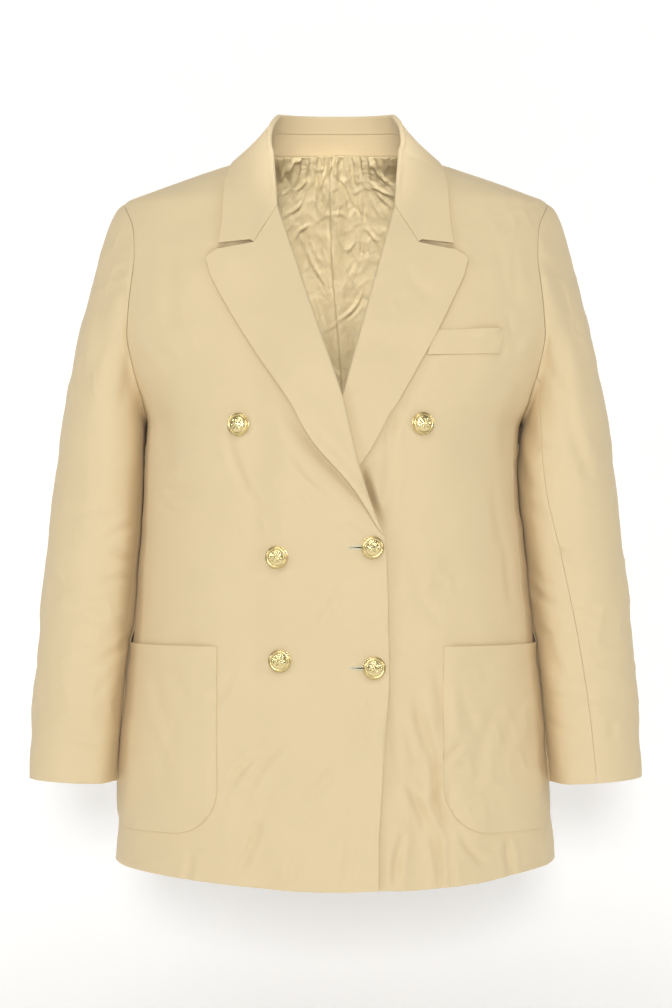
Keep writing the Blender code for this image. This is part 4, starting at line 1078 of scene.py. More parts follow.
def front_inner_edge(row, side):
    """Angle and height of a front's inner edge: its free edge, the roll line and the neckline."""
    top_low = side_seam("front", 1.0)[1]
    ends = (hem_height(-0.3, side), BREAK_HEIGHT, top_low, GORGE[1] - ROLL_LAST_ROW)
    level = np.interp(row, (0, BREAK_ROW, ARMHOLE_ROW, GORGE_ROW - 1), ends)
    share = (level - BREAK_HEIGHT) / (GORGE[1] - BREAK_HEIGHT)
    across, _ = roll_line(np.clip(share, 0, 1), side)
    gap = lapel_gap(across, level, side)
    fold = (gap / 2 + LAPEL_CLOTH) * lapel_rise(np.clip(share, 0, 1), side)
    across = np.where(share <= 0, -front_reach(level, side), across + fold)
    neck_share = np.clip(row - GORGE_ROW, 0, None) / (SHOULDER_ROW - GORGE_ROW) / 2
    to_neck = np.clip(row - GORGE_ROW + 1, 0, 1)
    own = (angle_at(across, level), level)
    return [mix(a, b, to_neck) for a, b in zip(own, neckline(neck_share))]


def back_inner_edge(row):
    """Angle and height of a back's inner edge: the centre seam, then the neckline."""
    centre_low = mix(hem_height(math.pi), side_seam("back", 1.0)[1], share_of_row(row))
    rise = np.clip((row - ARMHOLE_ROW) / (GORGE_ROW - ARMHOLE_ROW), 0, 1)
    neck_share = 1 - np.clip(row - GORGE_ROW, 0, None) / (SHOULDER_ROW - GORGE_ROW) / 2
    neck_angle, neck_height = neckline(neck_share)
    top = neckline(1.0)[1]
    height = np.where(row <= GORGE_ROW, mix(centre_low, top, rise), neck_height)
    return np.where(row <= GORGE_ROW, math.pi, neck_angle), height


def panel(row, s, side, which):
    """Angle and height on a front or back: straight from inner edge (s = 0) to outer edge (1)."""
    inner = front_inner_edge(row, side) if which == "front" else back_inner_edge(row)
    outer = outer_edge(row, which)
    angle, height = (mix(a[:, None], b[:, None], s[None, :]) for a, b in zip(inner, outer))
    hem = hem_height(angle[0], side if which == "front" else RIGHT) - height[0]
    return angle, height + hem * np.clip(1 - row, 0, 1)[:, None]


def lifted(angle, height, side, extra=0.0):
    """Points on the front's outside with its creases, and the normals there."""
    through = body_normal(angle, height, side)
    base = body_xyz(angle, height, side)
    across = side * (base[..., 0] - section(height)[3])
    across = np.where(np.cos(angle) > 0, across, 1.0)
    out = lift(across, height, side) + extra + body_relief(base)
    return base + out[..., None] * through, through


PANEL_ROWS = spread(
    (0, BREAK_ROW, 102), (BREAK_ROW, ARMHOLE_ROW, 54), (ARMHOLE_ROW, SHOULDER_ROW, 66)
)
FRONT_COLUMNS, BACK_COLUMNS, SIDE_COLUMNS = 110, 50, 30
UPPER_COLUMNS, UNDER_COLUMNS = 130, 24
CAP_RINGS, TUBE_RINGS = 45, 130
BODY_NEAR = 0.004  # how near a sleeve takes on the body's own creases
SOFTENED_ROWS = 8


def body_panel(side, which, columns):
    """A front or back as a fine grid of points and directions through the cloth."""
    s = spread((0, 0.015, 3), (0.015, 0.97, columns - 8), (0.97, 1, 5))
    angle, height = panel(PANEL_ROWS, s, side, which)
    under = 0.0
    if which == "front":
        across = side * (body_xyz(angle, height, side)[..., 0] - section(height)[3])
        under = np.minimum(creases(across, height, UNDER_CREASES[side]), 0.0)
    points, through = lifted(angle, height, side, under)
    on_armhole = PANEL_ROWS >= ARMHOLE_ROW
    rise = PANEL_ROWS[on_armhole] - ARMHOLE_ROW
    step = SIDE_FRONT_STEP - rise if which == "front" else SIDE_BACK_STEP + rise
    at_seam = armhole_normal(armhole_turn(step), side, "body")[:, None]
    near = ease(s, 0.96, 1.0)[None, :, None]
    through[on_armhole] = unit(mix(through[on_armhole], at_seam, near))
    return points, through


def side_panel(side):
    """The panel under the arm: straight from front to back seam, row by row."""
    turns = armhole_turn(spread((SIDE_FRONT_STEP, SIDE_BACK_STEP, SIDE_COLUMNS)))
    top_angle, top_height = armhole(turns)
    low_angle = np.radians(np.linspace(SIDE_FRONT_HEM_ANGLE, SIDE_BACK_HEM_ANGLE, len(turns)))
    row = PANEL_ROWS[PANEL_ROWS <= ARMHOLE_ROW]
    share = share_of_row(row)[:, None]
    angle = mix(low_angle[None, :], top_angle[None, :], share)
    height = mix(hem_height(low_angle)[None, :], top_height[None, :], share)
    points, through = lifted(angle, height, side)
    near = ease(share, 0.96, 1.0)[..., None]
    through = unit(mix(through, armhole_normal(turns, side, "body")[None], near))
    return points, through


def sleeve_part(side, first_step, last_step, columns):
    """A lengthwise part of the sleeve, between two steps of the armhole."""
    cap, below = np.linspace(0, 1, CAP_RINGS) ** 1.2, np.linspace(1, 2, TUBE_RINGS + 1)[1:]
    rings = np.concatenate([cap, below])
    ring, turn = grid(rings, armhole_turn(np.linspace(first_step, last_step, columns + 1)))
    turn = turn + math.radians(SLEEVE_TWIST[side]) * ease(ring, 0.6, 2.0)
    base = softened(sleeve_xyz(turn, ring, side), rings)
    through = sleeve_normal(turn, ring, side)
    near = 1 - ease(ring, 0.0, 0.08)[..., None]
    through = unit(mix(through, armhole_normal(turn[0], side, "sleeve")[None], near))
    close = bell(off_body_side(base, side), BODY_NEAR) * ease(ring, 0.3, 0.8)
    pushed = (side * close * body_relief(base))[..., None] * np.array([1.0, 0, 0])
    return base + pushed + sleeve_relief(base, turn, ring)[..., None] * through, through


def softened(points, rings):
    """The rows near ring 1 averaged with their neighbours, so that cap and tube meet smoothly."""
    count = 2 * SOFTENED_ROWS + 1
    padded = np.pad(points, ((SOFTENED_ROWS, SOFTENED_ROWS), (0, 0), (0, 0)), mode="edge")
    mean = sum(padded[k : k + len(points)] for k in range(count)) / count
    return mix(points, mean, bell(rings - 1, 0.25)[:, None, None])


def off_body_side(points, side):
    """How far the points lie sideways from the body's outside."""
    x, y, height = points[..., 0], points[..., 1], points[..., 2]
    return side * (x - section(height)[3]) - body_side(y, height)


# ---------------------------------------------------------------- lapels and collar

FOLD_STEPS = 12
GORGE_STEPS = 14
EDGE_STEPS = 22
PAST_NOTCH = (FOLD_STEPS + GORGE_STEPS - 1, FOLD_STEPS + GORGE_STEPS)
LAPEL_ROWS = 84
LAPEL_FIRST = 0.006  # share of the roll line at which the lapel's tip begins


def along_path(points, shares, s):
    """Across and height at share s of a broken line whose corners lie at these shares."""
    points = np.asarray(points, float)
    return np.stack([np.interp(s, shares, points[:, k]) for k in (0, 1)], axis=-1)


def path_shares(points):
    """Share of a broken line's length at each of its corners."""
    steps = np.linalg.norm(np.diff(np.asarray(points, float), axis=0), axis=1)
    return np.concatenate([[0], np.cumsum(steps)]) / steps.sum()


def lapel_top(side):
    """Corners of the lapel's top: the gorge seam, then the free edge up to the peak."""
    return (GORGE, *LAPEL_TOP[:-1], LAPEL_EDGE[side][-1])


def lapel_pattern(share, s, side):
    """The lapel seen from the front: share runs up from the break, s from roll line to edge."""
    roll = np.stack(roll_line(share, side), axis=-1)
    outline, shares = LAPEL_OUTLINE[side], path_shares(LAPEL_EDGE[side])
    edge = np.stack([smooth(share, shares, outline[name]) for name in LAPEL_EDGE_COLUMNS], axis=-1)
    top = lapel_top(side)
    bent = along_path(top, path_shares(top), s)
    top_straight = mix(np.array(top[0]), np.array(top[-1]), s[..., None])
    near_top = ease(share, 0.55, 1.0)[..., None]
    return mix(roll, edge, s[..., None]) + near_top * (bent - top_straight)


def folded(fold_at, away, through, radius, turn):
    """Points of a fold of this outer radius: turn is 0 inside, pi/2 at its crest, pi outside."""
    centre = fold_at + radius * away
    return centre - radius * np.sin(turn) * away - radius * np.cos(turn) * through


def lapel(side):
    """A lapel, turned out at the roll line round the front's edge."""
    share = spread((LAPEL_FIRST, 0.12, 30), (0.12, 0.90, LAPEL_ROWS), (0.90, 1.0, 24))
    notch, bend = path_shares(lapel_top(side))[1:3]
    s = spread((0, notch, GORGE_STEPS), (notch, bend, EDGE_STEPS), (bend, 1, 8))
    rows, columns = grid(share, s)
    flat = lapel_pattern(rows, columns, side)
    width = np.linalg.norm(flat[:, -1] - flat[:, 0], axis=-1)
    rise = lapel_rise(share, side)
    roll_gap = lapel_gap(flat[:, 0, 0], flat[:, 0, 1], side) * rise
    radius = roll_gap / 2 + LAPEL_CLOTH * rise
    start = (radius / width)[:, None]
    columns = np.maximum(columns, start + 0.3 * (1 - start) * columns)
    flat = lapel_pattern(rows, columns, side)
    to_peak = ease(share, 0.94, 1.0)[:, None] * ease(s, 0.93, 1.0)[None, :]
    flat = flat + (PEAK_ROUND * to_peak)[..., None] * np.array([-1.0, -0.25])
    angle = angle_at(flat[..., 0], flat[..., 1])
    below_top = 1 - ease(share, 0.97, 1.0)[:, None]
    closes = 1 - LAPEL_CLOSES * ease(s, 0.45, 1.0)[None, :] * below_top
    own = creases(side * flat[..., 0], flat[..., 1], LAPEL_CREASES)
    rolls = ease(share, 0.05, 0.25) * (1 - ease(share, 0.45, 0.80)) * (side == RIGHT)
    hollow = creases(side * flat[..., 0], flat[..., 1], (LAPEL_HOLLOW,))
    bridged = LAPEL_ROLL - bpy.context.scene.blazer_sizes.crease * hollow
    own = own + bridged * rolls[:, None] * ease(s, 0.2, 1.0)[None, :]
    extra = lapel_gap(flat[..., 0], flat[..., 1], side) * closes + LAPEL_CLOTH + own
    extra = extra * rise[:, None]
    points, through = lifted(angle, flat[..., 1], side, extra)

    crest = lapel_pattern(share, 0 * share, side)
    crest_angle = angle_at(crest[..., 0], crest[..., 1])
    crest_at, crest_through = lifted(crest_angle, crest[..., 1], side, roll_gap / 2)
    away = points[:, 0] - crest_at
    away = unit(away - (away * crest_through).sum(-1, keepdims=True) * crest_through)
    turns = np.linspace(0, math.pi, FOLD_STEPS + 1)[:-1]
    fold = np.stack(
        [folded(crest_at, away, crest_through, radius[:, None], turn) for turn in turns], axis=1
    )
    fold_through = np.stack(
        [-np.sin(turn) * away - np.cos(turn) * crest_through for turn in turns], axis=1
    )
    points = np.concatenate([fold, points], axis=1)
    return points, np.concatenate([fold_through, through], axis=1), LAPEL_CLOTH * rise[:, None]


def collar_station(u):
    """The collar's fold, facing and edge at u, from its front end (0) to the centre back (1)."""
    rows = np.array(COLLAR_STATIONS)
    mirrored = rows[-2] * np.array([-1, 1, 1, 1, -1, 1, 1])
    mirrored[3] = 360 - mirrored[3]
    stations = table(COLLAR_COLUMNS, np.vstack([rows, mirrored]), 1)
    at = np.asarray(u, float) * (len(rows) - 1)
    count = np.arange(len(rows) + 1)
    value = {name: smooth(at, count, stations[name]) for name in COLLAR_COLUMNS}
    fold = np.stack([value["fold_x"], value["fold_y"], value["fold_z"]], axis=-1)
    edge = np.stack([value["edge_x"], value["edge_y"], value["edge_z"]], axis=-1)
    facing = np.radians(value["face_angle"])
    return fold, np.stack([np.sin(facing), -np.cos(facing), 0 * facing], axis=-1), edge


def off_body(points):
    """How far the points lie outside the body's left half, and the normals there."""
    height = points[..., 2]
    angle = np.arctan2(points[..., 0] - section(height)[3], -points[..., 1])
    through = body_normal(angle, height, LEFT)
    return ((points - body_xyz(angle, height, LEFT)) * through).sum(-1), through


def settle(points, out):
    """The points moved along the body's normals until they lie this far outside it."""
    for _ in range(4):
        off, through = off_body(points)
        points = points + (out - off)[..., None] * through
    return points


COLLAR_ROWS = 96
INSIDE_STEPS = 8


def collar_half():
    """The left half of the collar, one row for each u: points, neck and stand seams, directions."""
    u = np.linspace(0, 1, COLLAR_ROWS + 1)
    fold, face, edge = collar_station(u)
    on_front = on_body(angle_at(fold[0, 0], fold[0, 2]), fold[0, 2], LEFT, LAPEL_LIFT / 2)
    fold = fold + (1 - ease(u, 0.0, 0.16))[:, None] * (on_front - fold[0])
    along = unit(collar_station(u + 0.01)[0] - collar_station(u - 0.01)[0])
    along[0] = unit(fold[1] - fold[0])
    fold_angle = np.arctan2(fold[:, 0], -fold[:, 1])
    flat_face = body_normal(fold_angle, np.minimum(fold[:, 2], 0.0), LEFT)
    face = mix(flat_face, face, ease(u, 0.05, 0.35)[:, None])
    face = unit(face - (face * along).sum(-1, keepdims=True) * along)
    away = unit(np.cross(along, face))
    radius = COLLAR_FOLD_RADIUS
    over = LAPEL_LIFT + LAPEL_CLOTH
    edge = settle(edge, over)
    off, out = off_body(fold + radius * (away + face))
    short = np.maximum(over - off, 0).max() * ease(u, 0.02, 0.2) * (1 - ease(u, 0.35, 0.65))
    fold = fold + short[:, None] * out
    outside = fold + radius * (away + face)

    corner = (GORGE, NOTCH, COLLAR_TIP)
    notch = path_shares(corner)[1]
    s = spread((0, notch, GORGE_STEPS), (notch, 1, EDGE_STEPS))
    middle = (outside + edge) / 2 + COLLAR_BULGE * ease(u, 0.1, 0.5)[:, None] * face
    t = s[None, :, None]
    free = (
        (1 - t) ** 2 * outside[:, None] + 2 * t * (1 - t) * middle[:, None] + t**2 * edge[:, None]
    )
    straight = mix(np.array(corner[0]), np.array(corner[2]), t[0])
    bent = along_path(corner, path_shares(corner), s) - straight
    shift = (1 - ease(u, 0.0, 0.25))[:, None, None] * bent[None]
    free = free + shift @ np.array([[1.0, 0, 0], [0, 0, 1]])
    stands_off = np.maximum(off_body(free)[0], over)
    fall = settle(free, mix(over, stands_off, ease(u, 0.12, 0.38)[:, None]))
    fall[:, -1] = edge
    turns = np.linspace(0, math.pi, FOLD_STEPS + 1)
    arc = np.stack([folded(fold, away, face, radius, turn) for turn in turns], axis=1)
    fall[:, 0] = arc[:, -1]

    # The first row is the lapel's top row, to which the collar is sewn as far as the notch.
    gorge = lapel(LEFT)[0][-1]
    sewn_on = np.concatenate([arc[0, :-1], fall[0]])
    sewn_on[: FOLD_STEPS + GORGE_STEPS + 1] = gorge[: FOLD_STEPS + GORGE_STEPS + 1]
    leaf = np.concatenate([arc[:, :-1], fall], axis=1)
    fades = (1 - ease(u, 0.0, 0.07))[:, None, None]
    leaf = leaf + fades * (sewn_on - leaf[0])[None]

    angle, height = neckline(u)
    at_neck = -body_normal(angle, height, LEFT)
    neck = on_body(angle, height, LEFT, -CLOTH)
    share = smooth(u, STAND_AT, STAND_SEAM)[:, None]
    seam = mix(leaf[:, 0], neck, share)
    rise = np.linspace(0, 1, INSIDE_STEPS + 1)[None, :-1, None]
    inside = mix(seam[:, None], leaf[:, :1], rise)
    return u, np.concatenate([inside, leaf], axis=1), neck, seam, at_neck, share


def grid_normals(points):
    """Unit normals of a grid of points, from its neighbouring rows and columns."""
    return unit(np.cross(np.gradient(points, axis=1), np.gradient(points, axis=0)))


def both_halves(half):
    """A grid with rows from front to back, joined to its mirror image along the last row."""
    mirror = half * np.array([-1, 1, 1])
    return np.concatenate([half, mirror[-2::-1]], axis=0)


def collar_and_stand():
    """The collar's leaf and the stand inside it, each as points and directions."""
    u, half, neck, seam, at_neck, share = collar_half()
    leaf = both_halves(half)
    leaf_through = grid_normals(leaf)
    at_neck = both_halves(at_neck)
    low = np.concatenate([share, share[-2::-1]]) ** 3
    at_seam = unit(mix(leaf_through[:, 1], at_neck, low))
    near = np.linspace(1, 0, INSIDE_STEPS + 1)[None, :, None]
    inner = leaf_through[:, : INSIDE_STEPS + 1]
    leaf_through[:, : INSIDE_STEPS + 1] = unit(mix(inner, at_seam[:, None], near))
    first = int(np.searchsorted(u, STAND_AT[1] + 0.01))
    rows = slice(first, -first)
    t = np.linspace(0, 1, 9)[None, :, None]
    stand = mix(both_halves(neck)[:, None], both_halves(seam)[:, None], t)
    stand_through = unit(mix(at_neck[:, None], at_seam[:, None], t))
    return (leaf, leaf_through), (stand[rows], stand_through[rows])


# ---------------------------------------------------------------- what lies on the panels


def angle_along(start_angle, height, distance):
    """The angle at a distance along the cloth: each level's arc lengths, read backwards."""
    turn = np.linspace(0, math.radians(75), 151)
    start, level = start_angle.ravel()[:, None], height.ravel()[:, None]
    ring = body_xyz(start + turn[None], level + 0 * turn[None], LEFT)
    steps = np.linalg.norm(np.diff(ring, axis=1), axis=-1)
    length = np.concatenate([np.zeros((len(steps), 1)), np.cumsum(steps, axis=1)], axis=1)
    wanted = distance.ravel()[:, None]
    cell = np.clip((length < wanted).sum(axis=1) - 1, 0, len(turn) - 2)
    pick = np.arange(len(cell))
    share = (wanted[:, 0] - length[pick, cell]) / (length[pick, cell + 1] - length[pick, cell])
    return start_angle + (turn[cell] + share * (turn[1] - turn[0])).reshape(height.shape)


def rounded(u, v, radius_u, radius_v):
    """A unit square with its two corners at v = 0 rounded: square cells become a quarter disc."""
    across = np.minimum(u, 1 - u)
    a, b = np.clip(1 - across / radius_u, 0, 1), np.clip(1 - v / radius_v, 0, 1)
    new_a, new_b = a * np.sqrt(1 - b * b / 2), b * np.sqrt(1 - a * a / 2)
    moved = np.where(a > 0, radius_u * (1 - new_a), across)
    return np.where(u <= 0.5, moved, 1 - moved), np.where(b > 0, radius_v * (1 - new_b), v)


def patch_pocket(side):
    """A patch pocket: sewn flat round three edges, slightly full inside, its top a little open."""
    steps = np.linspace(0, 1, 61)
    v, u = grid(steps, steps)
    tall = POCKET_TOP - POCKET_BOTTOM
    from_edge = np.minimum(np.minimum(u, 1 - u) * POCKET_WIDTH, v * tall)
    inside = ease(from_edge, 0.0, POCKET_FLAT)
    mouth = ease(v, 0.93, 1.0) * ease(np.minimum(u, 1 - u), 0.0, 0.12)
    u, v = rounded(u, v, POCKET_RADIUS / POCKET_WIDTH, POCKET_RADIUS / tall)
    height = POCKET_BOTTOM + tall * v
    start = angle_at(np.full(height.shape, POCKET_INNER[side]), height)
    angle = angle_along(start, height, POCKET_WIDTH * u)
    out = POCKET_LAYER * inside + POCKET_CLOTH * mix(0.95, 1.1, inside) + POCKET_MOUTH * mouth
    return lifted(angle, height, side, out)


def breast_welt():
    """The breast pocket's welt, from its inner end under the lapel, its top a little open."""
    u, v = grid(np.linspace(0, 1, 61), np.linspace(0, 1, 21))
    bottom, top = (mix(*np.array(ends), u[..., None]) for ends in (WELT_BOTTOM, WELT_TOP))
    flat = mix(bottom, top, v[..., None])
    angle = angle_at(flat[..., 0], flat[..., 1])
    opens = ease(v, 0.5, 1.0) * ease(u, 0.45, 0.75) * (1 - ease(u, 0.9, 1.0))
    return lifted(angle, flat[..., 1], LEFT, LAYER + WELT_CLOTH + WELT_MOUTH * opens)


LINING_CLOTH = 0.0005
LINING_SHARE = 8 / 9  # how far it reaches from the centre seam to the armhole
LINING_LAST_ROW = SHOULDER_ROW - 0.25
LINING_FIRST_ROW = 0.45
LINING_OVERLAP = 0.0019  # share of the row that closes the seam
LINING_SOFTNESS = 0.62  # share of the folds' own depths
LINING_COLUMNS = 73
LINING_EASE = 0.0008  # how far it hangs off the back at the least
PLEAT_STEP, PLEAT_RIDGE = 0.0030, 0.0040
PUFF, PINCH, FINE = 0.0022, 0.0015, 0.0004
GATHER, GATHER_PITCH = 0.0020, 0.0085


def back_lining(side):
    """Half of the back's lining, seen from inside.

    The back, moved in by its own thickness and further in by a sum: a pleat's step and ridge,
    rounded puffs (0.5 + n / 2), pinched lines (1 - |n|)^4, a fine noise, the folds of the table,
    and at the neck gathers, a sine whose phase is a noise.
    """
    rows = spread(
        (LINING_FIRST_ROW, 9, 24), (9, ARMHOLE_ROW, 30), (ARMHOLE_ROW, LINING_LAST_ROW, 170)
    )
    q = np.linspace(0, 1, LINING_COLUMNS)
    s = LINING_SHARE * (0.35 * q + 0.65 * q**2)
    s[0] = -LINING_OVERLAP
    angle, height = panel(rows, s, side, "back")
    through = -body_normal(angle, height, side)
    base = body_xyz(angle, height, side)
    clear = CLOTH + LAYER + LINING_CLOTH - body_relief(base)
    base = base + clear[..., None] * through
    x, z = base[..., 0], base[..., 2]
    pleat = table(PLEAT_COLUMNS, PLEAT)
    off = x - smooth(z, pleat["height"], pleat["x"])
    inside = PLEAT_STEP * ease(off, -0.0008, 0.0010) * (1 - ease(off, 0.004, 0.030))
    inside = inside + PLEAT_RIDGE * bell(off, 0.012)
    puffs = 0.5 + 0.5 * rumple(x + 0.3 * z, z * 0.55, 0.016, 11)
    pinched = (1 - np.abs(rumple(x * 1.3 + 0.5 * z, z - 0.6 * x, 0.013, 12))) ** 4
    fine = rumple(x + z, x - z, 0.005, 13)
    high = 0.35 + 0.65 * ease(z, -0.20, -0.02)
    inside = inside + high * (PUFF * puffs + PINCH * pinched + FINE * fine)
    inside = inside + LINING_SOFTNESS * creases(x, z, LINING_CREASES)
    gathers = np.sin(2 * math.pi * x / GATHER_PITCH + 2.2 * rumple(x, z, 0.02, 14))
    inside = inside + GATHER * gathers * ease(z, -0.022, 0.002)
    inside = np.maximum(inside + LINING_EASE, 0.0)
    low = rows[:, None] <= GORGE_ROW
    sewn_down = np.where(low, 1.0, ease(s, 0.0, 0.004)[None, :])
    return base + (inside * sewn_down)[..., None] * through, through


# ---------------------------------------------------------------- finishes

WHITE = (1.0, 1.0, 1.0)
# the buttons' painted shade: the gilt's colour in its hollows and under side
GILT_PAINTED_SHADE = (0.50, 0.36, 0.12)
SLIT_SHADES = ((0.10, 0.065, 0.03), (0.16, 0.11, 0.055))
STITCH_PITCH = 0.00055
CREASE_CELLS = (0.019, 0.008)  # sizes of the lining's small creases, wide and tight; their lines get painted shade in the satin's colour


class Socket:
    """A number of the shader, whose arithmetic adds Math nodes."""

    def __init__(self, finish, output):
        self.finish, self.output = finish, output

    def math(self, operation, *others, clamp=False):
        """A Math node on this number and others."""
        values = dict(enumerate((self, *others)))
        settings = {"operation": operation, "use_clamp": clamp}
        return Socket(self.finish, self.finish.add("ShaderNodeMath", settings, values).outputs[0])

    def __add__(self, other):
        return self.math("ADD", other)

    __radd__ = __add__

    def __mul__(self, other):
        return self.math("MULTIPLY", other)

    __rmul__ = __mul__

    def __sub__(self, other):
        return self.math("SUBTRACT", other)

    def __rsub__(self, other):
        return (self * -1) + other

    def sine(self):
        return self.math("SINE")

    def limited(self):
        """Kept between 0 and 1."""
        return self.math("ADD", 0.0, clamp=True)


class Finish:
    """A material, built node by node."""

    def __init__(self, name):
        self.material = bpy.data.materials.new(name)
        self.material.use_nodes = True
        self.tree = self.material.node_tree
        self.tree.nodes.clear()

    def add(self, kind, settings=None, sockets=None):
        """Adds a node: its settings first, then the values or links of its sockets."""
        node = self.tree.nodes.new(kind)
        for name, value in (settings or {}).items():
            setattr(node, name, value)
        for name, value in (sockets or {}).items():
            socket = node.inputs[name]
            if isinstance(value, Socket):
                value = value.output
            if isinstance(value, bpy.types.NodeSocket):
                self.tree.links.new(value, socket)
            else:
                socket.default_value = value
        return node

    def coordinates(self):
        """The object's own coordinates, in metres."""
        return self.add("ShaderNodeTexCoord").outputs["Object"]

    def cloth_map(self):
        """The two distances along the cloth, in metres."""
        uv = self.add("ShaderNodeUVMap", {"uv_map": "Cloth"}).outputs[0]
        split = self.add("ShaderNodeSeparateXYZ", None, {0: uv})
        return Socket(self, split.outputs[0]), Socket(self, split.outputs[1])

    def vector(self, x, y):
        """Two numbers as a vector."""
        return self.add("ShaderNodeCombineXYZ", None, {0: x, 1: y}).outputs[0]

    def noise(self, vector, scale, detail=2.0):
        """A noise from 0 to 1, with this many cells to the metre."""
        sockets = {"Vector": vector, "Scale": scale, "Detail": detail}
        return Socket(self, self.add("ShaderNodeTexNoise", None, sockets).outputs[0])

    def facets(self, place, across, up, size):
        """How far from the nearest crease: distance to the edges of cells, warped by a noise."""
        warp = self.noise(place, 0.6 / size, 1.0)
        vector = self.vector(across * (1 / size) + warp, up * (0.62 / size) + warp * 0.7)
        settings = {"voronoi_dimensions": "2D", "feature": "DISTANCE_TO_EDGE"}
        cells = self.add("ShaderNodeTexVoronoi", settings, {"Vector": vector, "Scale": 1.0})
        return Socket(self, cells.outputs["Distance"])

    def attribute(self, name):
        """A number that the mesh holds at each of its points."""
        node = self.add("ShaderNodeAttribute", {"attribute_name": name})
        return Socket(self, node.outputs["Fac"])

    def blend(self, factor, first, second):
        """A Mix node on two colours."""
        node = self.add("ShaderNodeMix", {"data_type": "RGBA"}, {0: factor, 6: first, 7: second})
        return node.outputs[2]

    def bump(self, height, distance, strength):
        """Normals as if the surface rose by distance where the height is 1."""
        sockets = {"Height": height, "Distance": distance, "Strength": strength}
        return self.add("ShaderNodeBump", None, sockets).outputs[0]

    def surface(self, sockets):
        """Ends the material with one Principled BSDF."""
        shader = self.add("ShaderNodeBsdfPrincipled", None, sockets)
        self.add("ShaderNodeOutputMaterial", None, {"Surface": shader.outputs[0]})
        return self.material


def tone(colour, share):
    """A colour, darker or lighter, as RGBA."""
    return (*(min(c * share, 1.0) for c in colour), 1.0)


def finish_named(name, make):
    """The material of this name, made once."""
    return bpy.data.materials.get(name) or make(name)


def twill_cloth(name):
    """Matt twill: fine diagonal ribs, faint slubs, and a slow mottle in its colour."""
    sizes, colours = bpy.context.scene.blazer_sizes, bpy.context.scene.blazer_colours
    finish = Finish(name)
    place = finish.coordinates()
    across, up = finish.cloth_map()
    slow = finish.noise(place, 16.0, 3.0)
    fine = finish.noise(place, 420.0, 2.0)
    ribs = ((across + up * 0.8) * (2 * math.pi / sizes.twill)).sine()
    slubs = finish.noise(finish.vector(across * 60, up * 900), 1.0)
    shade = (slow * 0.8 + fine * 0.2).limited()
    colour = finish.blend(shade, tone(colours.cloth, 0.965), tone(colours.cloth, 1.03))
    height = ribs * 0.5 + slubs * 0.8 + fine * 0.6
    return finish.surface(
        {
            "Base Color": colour,
            "Roughness": 0.80 + fine * 0.12,
            "Sheen Weight": 0.12,
            "Sheen Roughness": 0.5,
            "Specular IOR Level": 0.25,
            "Normal": finish.bump(height, 0.00006, 0.6),
        }
    )


def satin(name):
    """Shiny lining: fine crosswise threads, and small creases in patches, with painted shade on
    their lines.
    """
    colours = bpy.context.scene.blazer_colours
    finish = Finish(name)
    place = finish.coordinates()
    across, up = finish.cloth_map()
    slow = finish.noise(place, 40.0, 3.0)
    threads = finish.noise(finish.vector(across * 40, up * 1600), 1.0)
    wide, tight = (finish.facets(place, across, up, size) for size in CREASE_CELLS)
    here, there = ((finish.noise(place, scale, 1.0) * 7 - 3.2).limited() for scale in (34.0, 52.0))
    # painted shade: how strongly each crease line is darkened
    lines = (1 - wide * 18).limited() * here * 0.9 + (1 - tight * 9).limited() * there * 0.6
    plain = finish.blend(slow, tone(colours.lining, 0.89), tone(colours.lining, 0.98))
    # painted shade along the crease lines, in the satin's colour
    colour = finish.blend(lines.limited(), plain, tone(colours.lining, 0.78))
    crumple = (wide * 2.2).limited() * here + (tight * 2.2).limited() * there * 0.4 + threads * 0.1
    return finish.surface(
        {
            "Base Color": colour,
            "Roughness": 0.50 + threads * 0.12,
            "Specular IOR Level": 0.6,
            "Sheen Weight": 0.1,
            "Normal": finish.bump(crumple, 0.0009, 0.8),
        }
    )


def gold(name):
    """Gilt metal, faintly rubbed: bright where it stands out, and brown and rougher in its hollows
    and under side, a painted shade.
    """
    colours = bpy.context.scene.blazer_colours
    finish = Finish(name)
    place = finish.coordinates()
    # painted shade: the hollows and the under side darken the colour towards brown
    hollow = finish.attribute("hollow").limited()
    rubbed = finish.noise(place, 900.0, 3.0)
    colour = finish.blend(hollow, tone(colours.gold, 1.0), tone(GILT_PAINTED_SHADE, 1.0))
    return finish.surface(
        {
            "Base Color": colour,
            "Metallic": 1.0,
            "Roughness": (0.14 + hollow * 0.25 + rubbed * 0.12).limited(),
            "Normal": finish.bump(rubbed, 0.00003, 0.5),
        }
    )


def thread(name):
    """Buttonhole twist: tight ribs round the stitched ring, their crests painted lighter, a painted
    highlight.
    """
    colours = bpy.context.scene.blazer_colours
    finish = Finish(name)
    across, up = finish.cloth_map()
    ribs = (across * (2 * math.pi / STITCH_PITCH) + up * 900).sine()
    # painted highlight: the ribs' crests are lighter
    high = (ribs * 0.5 + 0.5).limited()
    colour = finish.blend(high, tone(colours.thread, 1.0), tone(colours.thread, 1.1))
    return finish.surface(
        {
            "Base Color": colour,
            "Roughness": 0.6,
            "Sheen Weight": 0.2,
            "Normal": finish.bump(ribs, 0.00010, 0.8),
        }
    )


def slit_shade(name):
    """Painted shade for the inside of a buttonhole: a dark sheet where its slit lies in shadow."""
    finish = Finish(name)
    fibres = finish.noise(finish.coordinates(), 1500.0, 2.0)
    colour = finish.blend(fibres, *(tone(shade, 1.0) for shade in SLIT_SHADES))
    return finish.surface({"Base Color": colour, "Roughness": 0.95, "Specular IOR Level": 0.0})


